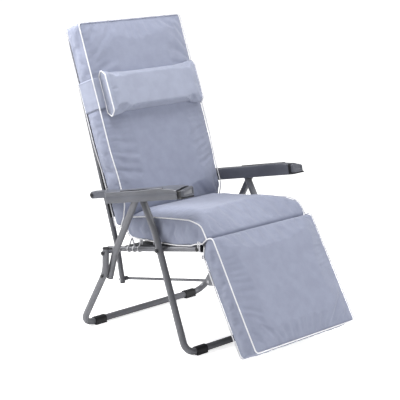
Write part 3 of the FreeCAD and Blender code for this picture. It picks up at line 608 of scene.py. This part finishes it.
def kept_within(points, most):
    """Keeps points within a half width most(y, z)."""
    half = most(points[:, 1], points[:, 2])
    points[:, 0] = np.clip(points[:, 0], -half, half)
    return points


# -------------------------------------------------------------------- outlines

SIDE = 0.247                        # seams of the side panels stand here
RAIL_UP = (math.sin(math.radians(10.74)), math.cos(math.radians(10.74)))
CREASE = (-268.0, 448.0)
MID = 407.0                         # middle of the pillow along the lean
TAPE_X = 0.2435                     # the tapes stand on the seat rails
STITCH_X = 0.2566                   # stitch rows on the sides of the band

SEAT = [(158.0, 378.0, 30), (158.0, 452.0, 12), (60.0, 471.0, 300), (-185.0, 501.0, 90),
        (-240.0, 492.0, 40), (*CREASE, 4), (-246.0, 428.0, 14), (-212.0, 420.5, 10),
        (-188.0, rail_z(-188.0) + 13.5, 0), (-105.0, rail_z(-105.0) + 14.0, 90)]
BACK = [(*on_back(0.0, 0.0), 60), (*on_back(683.0, 0.0), 6), (*on_back(683.0, -84.0), 8),
        (*on_back(-38.0, -84.0), 22), (224.0, 405.0, 16), (190.0, 412.0, 20),
        (175.0, 448.0, 30)]
REST = [(CREASE[0] - 1.5, CREASE[1] - 1.5, 4), (*on_rest(-13.0, 92.0), 34),
        (*on_rest(409.0, 100.3), 6), (*on_rest(409.0, 17.6), 10),
        (*on_rest(34.0, 17.6), 10), (-256.0, 420.0, 8)]
PILLOW = [(*on_back(MID - 70.0, 6.0), 8), (*on_back(MID + 68.0, 6.0), 8),
          (*on_back(MID + 86.0, 24.0), 6), (*on_back(MID + 68.0, 44.0), 10),
          (*on_back(MID - 70.0, 46.0), 10), (*on_back(MID - 89.0, 26.0), 6)]


def seat_extra(y, z):
    """Extra half width of the seat cushion towards its front."""
    return 0.007 * fade(-y, 0.10, 0.20)


def back_extra(y, z):
    """Extra half width of the back cushion towards its top."""
    return 0.007 * fade(z, 0.58, 0.70)


def rest_extra(y, z):
    """Extra half width of the footrest cushion, more when low."""
    return 0.007 + 0.003 * (1.0 - fade(z, 0.20, 0.44))


def bend_back(obj):
    """Bakes the placement of a piece of the back into its mesh."""
    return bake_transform(obj)


def bend_rest(obj):
    """Bakes the placement of a piece of the footrest into its mesh."""
    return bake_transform(obj)


def across(p, half=None):
    """Straight line from side to side through a side-view point in millimetres."""
    half = half or SIDE
    return np.array([(x, *side(*p)) for x in np.linspace(-half, half, 90)])


def crown(edge, extra, corner=0.014):
    """Line up one side panel, across an edge with round corners and down the other side.

    edge is a side-view line [(y, z)] in metres that ends at the crossing."""
    edge = np.array(edge)
    tail = edge[-1]
    up = edge[-1] - edge[-2]
    up = up / np.linalg.norm(up)
    body = edge[np.linalg.norm(edge - tail, axis=1) > corner]
    near = [(-SIDE, *p) for p in body]
    for a in np.linspace(0.0, math.pi / 2, 6):
        p = tail - up * corner * (1.0 - math.sin(a))
        near.append((-SIDE + corner * (1.0 - math.cos(a)), *p))
    near = np.array(near)
    far = near[::-1] * np.array([-1.0, 1.0, 1.0])
    middle = [(x, *tail) for x in np.linspace(-SIDE + corner, SIDE - corner, 60)[1:-1]]
    return widened(np.vstack([near, middle, far]), extra)


def open_line(corners, step=0.006):
    """Open side-view line in metres through corners [(y, z, radius)] in millimetres."""
    first, last = corners[0], corners[-1]
    ring = rounded([first] + corners[1:-1] + [last], 0.002)
    start = int(np.argmin(np.linalg.norm(ring - np.array(side(*first[:2])), axis=1)))
    ring = np.roll(ring, -start, axis=0)
    end = int(np.argmin(np.linalg.norm(ring - np.array(side(*last[:2])), axis=1)))
    return resample(ring[:end + 1], step, False)


def piping(name, lines):
    """White bead along lines [(points, closed)]."""
    radius = bpy.context.scene.relaxer_fabric.piping
    bead = beads(name, lines, radius, MATERIALS["piping_cloth"])
    return bead


# ------------------------------------------------------------------- operators


def build_seat():
    """Seat cushion, held along its piping and its front crease."""
    outline = rounded(SEAT)
    cushion = prism("seat_cushion_cover", outline, -SIDE, SIDE, MATERIALS["cushion_fabric"])
    reshape(cushion, seat_extra)
    loops = [widened(at_x(outline, x), seat_extra) for x in (-SIDE, SIDE)]
    crease = widened(across(CREASE), seat_extra)

    def limit(points):
        kept_above(points, REST_HINGE, RAIL_UP, 0.0125)
        return kept_within(points, lambda y, z: 0.2535 + 0.006 * fade(-y, 0.10, 0.20))

    stuffed(cushion, loops + [crease], 0.022, limit)
    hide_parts("seat_cushion")
    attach(cushion, "seat")
    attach(piping("seat_piping", [(loop, True) for loop in loops]), "seat")


def build_back():
    """Back cushion, narrower where the armrests pass."""
    outline = rounded(BACK)
    cushion = prism("back_cushion_cover", outline, -SIDE, SIDE, MATERIALS["cushion_fabric"])
    reshape(cushion, back_extra)
    tip = (207.0, 402.0, 0)
    front = crown(open_line([tip, (190.0, 412.0, 20), (175.0, 448.0, 30),
                             (*on_back(0.0, 0.0), 60), (*on_back(683.0, 0.0), 0)]), back_extra)
    rear = crown(open_line([tip, (224.0, 405.0, 16), (*on_back(-38.0, -84.0), 22),
                            (*on_back(683.0, -84.0), 0)]), back_extra)

    def limit(points):
        kept_above(points, on_back(0.0, -84.0), BACK_FRONT, -0.0008)
        held = side(*on_back(MID + 7.0, -42.0))

        def most(y, z):
            along_lean = (y - held[0]) * BACK_UP[0] + (z - held[1]) * BACK_UP[1]
            free = fade(np.abs(along_lean), 0.056, 0.085)
            high = fade(z, 0.60, 0.68)
            return 0.2495 + high * (0.0045 + 0.007 * free)

        return kept_within(points, most)

    stuffed(cushion, [front, rear], 0.022, limit, voxel=0.0075)
    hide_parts("back_cushion")
    bend_back(cushion)
    bend_back(piping("back_piping", [(front, False), (rear, False)]))


def build_footrest():
    """Footrest cushion, hung from the crease."""
    outline = rounded(REST)
    cushion = prism("footrest_cushion_cover", outline, -SIDE, SIDE, MATERIALS["cushion_fabric"])
    reshape(cushion, rest_extra)
    front = crown(open_line([(*CREASE, 0), (*on_rest(-13.0, 92.0), 34),
                             (*on_rest(409.0, 100.3), 0)]), rest_extra)
    rear = crown(open_line([(-256.0, 420.0, 0), (*on_rest(34.0, 17.6), 10),
                            (*on_rest(409.0, 17.6), 0)]), rest_extra)
    crease = widened(across(CREASE), rest_extra)

    def limit(points):
        kept_above(points, on_rest(0.0, 17.0), REST_FRONT, 0.0)
        return kept_within(points, lambda y, z: 0.2625)

    stuffed(cushion, [front, rear, crease], 0.018, limit)
    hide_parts("footrest_cushion")
    bend_rest(cushion)
    bend_rest(piping("footrest_piping", [(front, False), (rear, False)]))


def build_pillow():
    """Head pillow with flat piped ends."""
    outline = rounded(PILLOW, 0.004)
    half = 0.226
    pillow = prism("head_pillow_cover", outline, -half, half, MATERIALS["pillow_fabric"])
    loops = [at_x(outline, -half), at_x(outline, half)]
    stuffed(pillow, loops, 0.010, voxel=0.005)
    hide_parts("head_pillow")
    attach(pillow, "back")
    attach(piping("head_pillow_piping", [(loop, True) for loop in loops]), "back")


def build_band():
    """Wide fabric band round the cushion that holds the pillow."""
    inset, depth = 0.2545, 0.0855
    corners = np.array([(-0.221, 0.007), (-inset + 0.008, 0.0045), (-inset, -0.003),
                        (-inset, -depth + 0.001), (-inset + 0.005, -depth),
                        (inset - 0.005, -depth), (inset, -depth + 0.001), (inset, -0.003),
                        (inset - 0.008, 0.0045), (0.221, 0.007)])
    path = resample(corners, 0.006, False)
    rows = 21
    low, high = MID + 7.0 - 58.0, MID + 7.0 + 58.0
    verts = []
    for j in range(rows):
        v = j / (rows - 1)
        fold = (0.0011 * math.exp(-((v - 0.30) / 0.05) ** 2)
                + 0.0008 * math.exp(-((v - 0.72) / 0.04) ** 2))
        for k, (x, n) in enumerate(path):
            on_side = abs(x) > inset - 0.002
            wave = 0.0007 * math.sin(9.0 * v + 40.0 * n) if on_side else 0.0
            y, z = side(*on_back(low + (high - low) * v, n * 1000.0))
            verts.append((x + math.copysign(fold + wave, x) * on_side, y, z))
    n = len(path)
    faces = [[j * n + k, j * n + k + 1, (j + 1) * n + k + 1, (j + 1) * n + k]
             for j in range(rows - 1) for k in range(n - 1)]
    band = add_mesh("pillow_band_cloth", verts, faces, MATERIALS["band_fabric"])
    wrap = band.modifiers.new("Outside", "SHRINKWRAP")
    wrap.target = bpy.data.objects["back_cushion_cover"]
    wrap.wrap_method = "NEAREST_SURFACEPOINT"
    wrap.wrap_mode = "OUTSIDE"
    wrap.offset = 0.0012
    thick = band.modifiers.new("Thickness", "SOLIDIFY")
    thick.thickness = 0.0016
    thick.offset = 0.0
    apply_modifiers(band)
    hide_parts("pillow_band")
    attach(band, "back")


def eased(e, stops):
    """Value at e between stops [(e, value)], with no corners."""
    for (e0, v0), (e1, v1) in zip(stops, stops[1:]):
        if e <= e1:
            return v0 + (v1 - v0) * float(fade(e, e0, e1))
    return stops[-1][1]


def section(e):
    """Open cross-section [(x, n)] of the armrest from its inner foot to its outer foot."""
    w, d = float(fade(e, 84.0, 114.0)), float(fade(e, 90.0, 118.0))
    x_in, x_out = 250.8, 285.0 + 30.0 * w
    bottom = -14.0 - 18.7 * d
    top = eased(e, [(-16.0, 12.5), (70.0, 12.5), (130.0, 10.5), (290.0, 10.5), (410.0, 12.5),
                    (462.0, 11.5), (500.0, 7.5)])
    edge = eased(e, [(-16.0, 12.0), (70.0, 12.0), (120.0, 8.5), (290.0, 7.0), (400.0, 10.5),
                     (470.0, 4.5), (500.0, -1.0)])
    wall = x_out - 1.4 * d
    points = [(x_in, bottom), (x_in, -8.0), (x_in, top - 5.5)]
    for k in range(1, 7):
        a = math.pi / 2 * k / 6
        points.append((x_in + 5.5 * (1 - math.cos(a)), top - 5.5 + 5.5 * math.sin(a)))
    for t in (0.25, 0.5, 0.72, 0.88):
        points.append((x_in + 5.5 + t * (x_out - 9.0 - x_in - 5.5),
                       top + (edge - top) * t * t + 1.0 * math.sin(math.pi * t)))
    points += [(x_out - 6.0, edge + 1.0), (x_out - 3.4, edge + 0.9), (x_out - 1.2, edge + 0.1),
               (x_out - 0.1, edge - 1.6), (x_out, edge - 3.4), (x_out - 0.5, edge - 5.0),
               (wall, edge - 6.4), (wall, -8.0 - 2.0 * d), (wall, -8.6 - 3.6 * d),
               (x_out - 0.2, -9.2 - 4.8 * d), (x_out, -9.8 - 6.0 * d),
               (x_out - 0.5 * d, -10.6 - 8.0 * d), (x_out - 0.8 * d, bottom + 2.0),
               (x_out - 1.6 * d, bottom + 0.4), (x_out - 3.0 * d, bottom)]
    return points


def ring3(points, e, sign):
    """Section [(x, n)] of an armrest as a ring at e."""
    return [(sign * x / 1000.0, *side(*on_arm(e, n))) for x, n in points]


def frame_ring(x0, x1, low, top_in, top_out, r, inset=0.0):
    """Closed round-cornered outline; its top slopes from the inner to the outer side."""
    x0, x1, low = x0 + inset, x1 - inset, low + inset
    top_in, top_out = top_in - inset, top_out - inset
    r = max(1.0, r - inset)
    points = []
    for cx, cn, start in ((x0 + r, low + r, 270.0), (x0 + r, top_in - r, 180.0),
                          (x1 - r, top_out - r, 90.0), (x1 - r, low + r, 0.0)):
        for k in range(7):
            a = math.radians(start - 90.0 * k / 6)
            points.append((cx + r * math.cos(a), cn + r * math.sin(a)))
    return points


def build_armrests():
    """Hollow shell, neck and nose of both armrests, with a black lip of painted shade under each
    nose.
    """
    for name, sign in (("right", -1), ("left", 1)):
        rings = []
        for e in [-10.0, -9.7, -8.8, -7.0, -4.4, -1.0] + list(np.arange(4.0, 500.0, 6.2)) + [500.0]:
            points = section(e)
            if e < -1.0:
                shrink = math.sqrt(max(0.03, 1.0 - ((-1.0 - e) / 9.15) ** 2))
                points = [(x, n * shrink) for x, n in points]
            rings.append(ring3(points, e, sign))
        shell = loft("armrest_cover_" + name, rings, MATERIALS["armrest_plastic"],
                     caps=(False, False), closed=False)
        wall = shell.modifiers.new("Wall", "SOLIDIFY")
        wall.thickness = 0.0022
        wall.offset = -1.0
        apply_modifiers(shell)
        shell.data.set_sharp_from_angle(angle=math.radians(50.0))

        neck = loft("armrest_neck_" + name, [
            ring3(frame_ring(253.2, 312.4, -31.0, 5.2, -3.0, 5.0, cut), e, sign)
            for e, cut in ((489.0, 0.0), (500.0, 0.0), (504.0, 1.0), (510.0, 1.4), (516.0, 1.0))],
            MATERIALS["black_plastic"])
        # Black lip under the nose: painted shade that stands for the shadow under the armrest's
        # front face.
        shade_lip = loft("armrest_shade_lip_" + name, [
            ring3(frame_ring(252.5, 312.5, -33.0, -27.5, -27.5, 2.0, cut), e, sign)
            for e, cut in ((496.0, 0.4), (497.0, 0.0), (519.0, 0.0), (522.0, 0.8), (523.0, 2.0))],
            MATERIALS["black_plastic"])
        face = [(512.5, 2.2), (513.2, 0.9), (514.6, 0.2), (517.5, 0.0), (520.5, 0.7), (522.8, 2.2),
                (523.8, 3.8), (523.6, 5.4), (522.0, 6.8), (520.6, 7.6), (520.2, 9.0)]
        nose = loft("armrest_nose_" + name, [
            ring3(frame_ring(251.4, 313.0 - 10.0 * (e - 512.5) / 12.0, -28.5, 6.5,
                             -1.5, 8.0, cut), e, sign) for e, cut in face],
            MATERIALS["armrest_plastic"])
        for piece in (neck, shade_lip, nose):
            piece.data.set_sharp_from_angle(angle=math.radians(45.0))
        for piece in (shell, neck, shade_lip, nose):
            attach(piece, "armrest_" + name)
        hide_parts("armrest_shell_" + name)
        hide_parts("armrest_cap_" + name)


def stitch_group():
    """Geometry Nodes group: short thread stitches along a line, realised."""
    group, given, made = node_group(
        "GeometryNodeTree", "stitches",
        [("Geometry", "NodeSocketGeometry"), ("Pitch", "NodeSocketFloat"),
         ("Thread Radius", "NodeSocketFloat"), ("Stitch Length", "NodeSocketFloat"),
         ("Thread", "NodeSocketMaterial")],
        [("Geometry", "NodeSocketGeometry")])
    nodes, links = group.nodes, group.links
    curve = nodes.new("GeometryNodeMeshToCurve")
    points = nodes.new("GeometryNodeCurveToPoints")
    points.mode = "LENGTH"
    thread = nodes.new("GeometryNodeMeshCylinder")
    thread.inputs["Vertices"].default_value = 6
    instance = nodes.new("GeometryNodeInstanceOnPoints")
    real = nodes.new("GeometryNodeRealizeInstances")
    paint = nodes.new("GeometryNodeSetMaterial")
    links.new(given["Geometry"], curve.inputs["Mesh"])
    links.new(curve.outputs["Curve"], points.inputs["Curve"])
    links.new(given["Pitch"], points.inputs["Length"])
    links.new(given["Thread Radius"], thread.inputs["Radius"])
    links.new(given["Stitch Length"], thread.inputs["Depth"])
    links.new(points.outputs["Points"], instance.inputs["Points"])
    links.new(points.outputs["Rotation"], instance.inputs["Rotation"])
    links.new(thread.outputs["Mesh"], instance.inputs["Instance"])
    links.new(instance.outputs["Instances"], real.inputs["Geometry"])
    links.new(real.outputs["Geometry"], paint.inputs["Geometry"])
    links.new(given["Thread"], paint.inputs["Material"])
    links.new(paint.outputs["Geometry"], made["Geometry"])
    return group


def build_stitches():
    """Stitch rows along the band's two long edges on both side panels."""
    verts, edges = [], []
    for sign in (-1, 1):
        for s in (MID + 7.0 - 53.0, MID + 7.0 + 53.0):
            row = [(sign * STITCH_X, *side(*on_back(s, n))) for n in range(-80, -2, 3)]
            start = len(verts)
            verts += row
            edges += [(start + k, start + k + 1) for k in range(len(row) - 1)]
    mesh = bpy.data.meshes.new("band_stitches")
    mesh.from_pydata(verts, edges, [])
    obj = bpy.data.objects.new("band_stitches", mesh)
    bpy.context.collection.objects.link(obj)
    rows = obj.modifiers.new("Stitches", "NODES")
    rows.node_group = stitch_group()
    values = {"Pitch": 0.0055, "Thread Radius": 0.00045, "Stitch Length": 0.0036,
              "Thread": MATERIALS["band_fabric"]}
    for item in rows.node_group.interface.items_tree:
        if item.in_out == "INPUT" and item.name in values:
            rows[item.identifier] = values[item.name]
    apply_modifiers(obj)
    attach(obj, "back")


def strip(name, path, width, thickness, material):
    """Flat webbing along a side-view path [(y, z)] in metres, centred on x."""
    x0, line = path
    line = resample(np.array(line), 0.004, False)
    tangent = np.gradient(line, axis=0)
    tangent /= np.linalg.norm(tangent, axis=1)[:, None]
    normal = np.column_stack([-tangent[:, 1], tangent[:, 0]]) * thickness / 2
    rings = []
    for p, n in zip(line, normal):
        rings.append([(x0 - width / 2, *(p + n)), (x0 + width / 2, *(p + n)),
                      (x0 + width / 2, *(p - n)), (x0 - width / 2, *(p - n))])
    return loft(name, rings, material)


def build_ties():
    """White tapes that tie the cushions to the rails."""
    for name, sign in (("right", -1), ("left", 1)):
        pieces = []
        spots = ((150.0, -16.0, 378.0), (120.0, 15.0, 379.0), (92.0, -8.0, 381.5),
                 (-8.0, 6.0, 390.0))
        for number, (y, lean, top) in enumerate(spots):
            path = [side(y + lean, top + 1.0), side(y + lean * 0.45, (top + rail_z(y) + 11.0) / 2),
                    side(y, rail_z(y) + 10.5)]
            if top - rail_z(y) > 14.0:
                pieces.append(strip("seat_tape_%s_%d" % (name, number), (sign * TAPE_X, path),
                                    0.007, 0.0016, MATERIALS["tie_webbing"]))
            pieces.append(hoop("seat_tape_loop_%s_%d" % (name, number), sign * TAPE_X, y,
                               rail_z(y) - 10.9, rail_z(y) + 10.9, 0.0109, 5.0))
        for number, y in enumerate((-234.0, -226.0)):
            pieces.append(hoop("nose_tape_%s_%d" % (name, number), sign * TAPE_X, y,
                               rail_z(y) - 11.4, 436.0, 0.0114, 4.5))
        for piece in pieces:
            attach(piece, "seat")


def hoop(name, x, y, low, high, reach, width):
    """Flat tape closed round a rail: an upright loop at one y, in millimetres."""
    low_c, high_c = low / 1000.0 + reach, high / 1000.0 - reach
    line = []
    for a in np.linspace(0.0, math.pi, 12):
        line.append((x + reach * math.cos(a), high_c + reach * math.sin(a)))
    for a in np.linspace(math.pi, 2 * math.pi, 12):
        line.append((x + reach * math.cos(a), low_c + reach * math.sin(a)))
    rings = []
    centre = np.array([x, (low_c + high_c) / 2])
    for dy, grow in ((-width / 2, 0.0), (width / 2, 0.0), (width / 2, 0.0014),
                     (-width / 2, 0.0014)):
        rings.append([(x + (px - x) * (1 + grow / reach), side(y + dy, 0.0)[0],
                       pz + math.copysign(grow, pz - centre[1])) for px, pz in line])
    rings.append(rings[0])
    return loft(name, rings, MATERIALS["tie_webbing"], caps=(False, False))


def dome(name, x, p, sign, radius, height, material):
    """Domed bolt cap facing outwards at distance x."""
    verts, faces = [], []
    rings, sides_n = 6, 24
    for j in range(rings + 1):
        a = math.pi / 2 * j / rings
        r, h = radius * math.cos(a), height * math.sin(a)
        for k in range(sides_n):
            b = 2 * math.pi * k / sides_n
            verts.append((sign * (x + h), p[0] + r * math.cos(b), p[1] + r * math.sin(b)))
    for j in range(rings):
        for k in range(sides_n):
            a, b = j * sides_n, (j + 1) * sides_n
            faces.append([a + k, a + (k + 1) % sides_n, b + (k + 1) % sides_n, b + k])
    faces.append(list(range(sides_n)))
    return add_mesh(name, verts, faces, material)


def build_bolt_caps():
    """Plastic caps over the outer ends of the bolts."""
    spots = (("rear_pivot", 0.3370, side(193.1, 325.0), 0.0085, 0.0035, "seat"),
             ("front_pivot", 0.2840, side(-42.9, 369.7), 0.0085, 0.0035, "seat"),
             ("back_hinge", 0.2570, side(*BACK_HINGE), 0.0080, 0.0030, "seat"),
             ("rest_hinge", 0.2570, side(*REST_HINGE), 0.0080, 0.0030, "seat"),
             ("strut_pin", 0.3365, side(200.0, 236.0), 0.0072, 0.0030, "rear_legs"),
             ("arm_pivot", 0.2881, side(*ARM_PIVOT), 0.0080, 0.0030, "back"))
    for name, sign in (("right", -1), ("left", 1)):
        for key, x, p, radius, height, body in spots:
            cap = dome("cap_%s_%s" % (key, name), x, p, sign, radius, height,
                       MATERIALS["black_plastic"])
            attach(cap, body)


def build_studio():
    """Floor, world, three lights and the camera."""
    settings = bpy.context.scene.relaxer_studio
    scene = bpy.context.scene
    ground, nodes, links, bsdf = new_material("floor_white")
    bsdf.inputs["Base Color"].default_value = (0.92, 0.92, 0.92, 1.0)
    bsdf.inputs["Roughness"].default_value = 0.7
    bsdf.inputs["Emission Color"].default_value = (1.0, 1.0, 1.0, 1.0)
    seen = nodes.new("ShaderNodeLightPath")
    glow = nodes.new("ShaderNodeMapRange")
    glow.inputs["To Min"].default_value = settings.floor_bounce
    glow.inputs["To Max"].default_value = settings.floor_glow
    links.new(seen.outputs["Is Camera Ray"], glow.inputs["Value"])
    links.new(glow.outputs["Result"], bsdf.inputs["Emission Strength"])
    floor = add_mesh("floor", [(-60, -60, 0), (60, -60, 0), (60, 60, 0), (-60, 60, 0)],
                     [[0, 1, 2, 3]], ground, False)
    world = bpy.data.worlds.new("studio")
    world.use_nodes = True
    nodes, links = world.node_tree.nodes, world.node_tree.links
    path = nodes.new("ShaderNodeLightPath")
    strength = nodes.new("ShaderNodeMapRange")
    strength.inputs["To Min"].default_value = settings.world
    strength.inputs["To Max"].default_value = 1.0
    links.new(path.outputs["Is Camera Ray"], strength.inputs["Value"])
    nodes["Background"].inputs["Color"].default_value = (1.0, 1.0, 1.0, 1.0)
    links.new(strength.outputs["Result"], nodes["Background"].inputs["Strength"])
    scene.world = world

    def area(name, location, target, size, power):
        data = bpy.data.lights.new(name, "AREA")
        data.shape = "DISK"
        data.size = size
        data.energy = power
        lamp = bpy.data.objects.new(name, data)
        bpy.context.collection.objects.link(lamp)
        lamp.location = location
        aim = Vector(target) - Vector(location)
        lamp.rotation_euler = aim.to_track_quat("-Z", "Y").to_euler()

    area("key", (-1.1, 1.3, 1.6), (-0.2, 0.2, 0.8), 0.8, settings.key)
    area("fill", (1.4, -3.2, 1.9), (0.0, -0.1, 0.6), 2.0, settings.fill)
    area("top", (-0.5, 0.1, 3.2), (0.0, -0.1, 0.4), 1.6, settings.top)
    data = bpy.data.cameras.new("camera")
    data.lens = settings.lens
    data.sensor_width = 36.0
    data.clip_end = 60.0
    camera = bpy.data.objects.new("camera", data)
    bpy.context.collection.objects.link(camera)
    yaw, pitch, roll = settings.yaw, settings.pitch, settings.roll
    aim = Vector((math.sin(yaw) * math.cos(pitch), math.cos(yaw) * math.cos(pitch),
                  -math.sin(pitch)))
    camera.location = settings.place
    camera.rotation_mode = "QUATERNION"
    camera.rotation_quaternion = (aim.to_track_quat("-Z", "Y")
                                  @ Quaternion((0.0, 0.0, 1.0), -roll))
    scene.camera = camera
    scene.view_settings.view_transform = "Standard"


class RELAXER_OT_seat(bpy.types.Operator):
    """Stuffed seat cushion with white piping"""

    bl_idname = "relaxer.seat"
    bl_label = "Seat cushion"

    def execute(self, context):
        build_seat()
        return {"FINISHED"}


class RELAXER_OT_back(bpy.types.Operator):
    """Stuffed back cushion with white piping"""

    bl_idname = "relaxer.back"
    bl_label = "Back cushion"

    def execute(self, context):
        build_back()
        return {"FINISHED"}


class RELAXER_OT_footrest(bpy.types.Operator):
    """Stuffed footrest cushion with white piping"""

    bl_idname = "relaxer.footrest"
    bl_label = "Footrest cushion"

    def execute(self, context):
        build_footrest()
        return {"FINISHED"}


class RELAXER_OT_pillow(bpy.types.Operator):
    """Stuffed head pillow with piped ends"""

    bl_idname = "relaxer.pillow"
    bl_label = "Head pillow"

    def execute(self, context):
        build_pillow()
        return {"FINISHED"}


class RELAXER_OT_band(bpy.types.Operator):
    """Fabric band that holds the pillow"""

    bl_idname = "relaxer.band"
    bl_label = "Pillow band"

    def execute(self, context):
        build_band()
        return {"FINISHED"}


class RELAXER_OT_stitches(bpy.types.Operator):
    """Stitch rows on the band"""

    bl_idname = "relaxer.stitches"
    bl_label = "Stitches"

    def execute(self, context):
        build_stitches()
        return {"FINISHED"}


class RELAXER_OT_armrests(bpy.types.Operator):
    """Moulded armrests with front caps"""

    bl_idname = "relaxer.armrests"
    bl_label = "Armrests"

    def execute(self, context):
        build_armrests()
        return {"FINISHED"}


class RELAXER_OT_ties(bpy.types.Operator):
    """White tapes between cushion and rails"""

    bl_idname = "relaxer.ties"
    bl_label = "Ties"

    def execute(self, context):
        build_ties()
        return {"FINISHED"}


class RELAXER_OT_bolt_caps(bpy.types.Operator):
    """Domed caps on the bolts"""

    bl_idname = "relaxer.bolt_caps"
    bl_label = "Bolt caps"

    def execute(self, context):
        build_bolt_caps()
        return {"FINISHED"}


class RELAXER_OT_studio(bpy.types.Operator):
    """Floor, lights, world and camera"""

    bl_idname = "relaxer.studio"
    bl_label = "Studio"

    def execute(self, context):
        build_studio()
        return {"FINISHED"}


OPERATORS = [RELAXER_OT_seat,
             RELAXER_OT_back,
             RELAXER_OT_footrest,
             RELAXER_OT_pillow,
             RELAXER_OT_band,
             RELAXER_OT_stitches,
             RELAXER_OT_armrests,
             RELAXER_OT_ties,
             RELAXER_OT_bolt_caps,
             RELAXER_OT_studio]


class RELAXER_PT_panel(bpy.types.Panel):
    """Sidebar panel with the settings and one button per piece"""

    bl_label = "Relaxer"
    bl_idname = "RELAXER_PT_panel"
    bl_space_type = "VIEW_3D"
    bl_region_type = "UI"
    bl_category = "Relaxer"

    def draw(self, context):
        scene = context.scene
        for group in (scene.relaxer_fabric, scene.relaxer_finish, scene.relaxer_studio):
            for key in type(group).__annotations__:
                self.layout.prop(group, key)
        for item in OPERATORS:
            self.layout.operator(item.bl_idname)


CLASSES = [RelaxerFabric, RelaxerFinish, RelaxerStudio, *OPERATORS, RELAXER_PT_panel]


def register():
    """Registers the classes and hangs the settings on the scene."""
    for item in CLASSES:
        bpy.utils.register_class(item)
    bpy.types.Scene.relaxer_fabric = bpy.props.PointerProperty(type=RelaxerFabric)
    bpy.types.Scene.relaxer_finish = bpy.props.PointerProperty(type=RelaxerFinish)
    bpy.types.Scene.relaxer_studio = bpy.props.PointerProperty(type=RelaxerStudio)


def unregister():
    """Takes back what register did."""
    del bpy.types.Scene.relaxer_studio
    del bpy.types.Scene.relaxer_finish
    del bpy.types.Scene.relaxer_fabric
    for item in reversed(CLASSES):
        bpy.utils.unregister_class(item)


def main():
    register()
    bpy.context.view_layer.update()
    make_materials()
    smooth_cad()
    bpy.ops.relaxer.seat()
    bpy.ops.relaxer.back()
    bpy.ops.relaxer.footrest()
    bpy.ops.relaxer.pillow()
    bpy.ops.relaxer.band()
    bpy.ops.relaxer.stitches()
    bpy.ops.relaxer.armrests()
    bpy.ops.relaxer.ties()
    bpy.ops.relaxer.bolt_caps()
    bpy.ops.relaxer.studio()


if __name__ == "__main__":
    main()
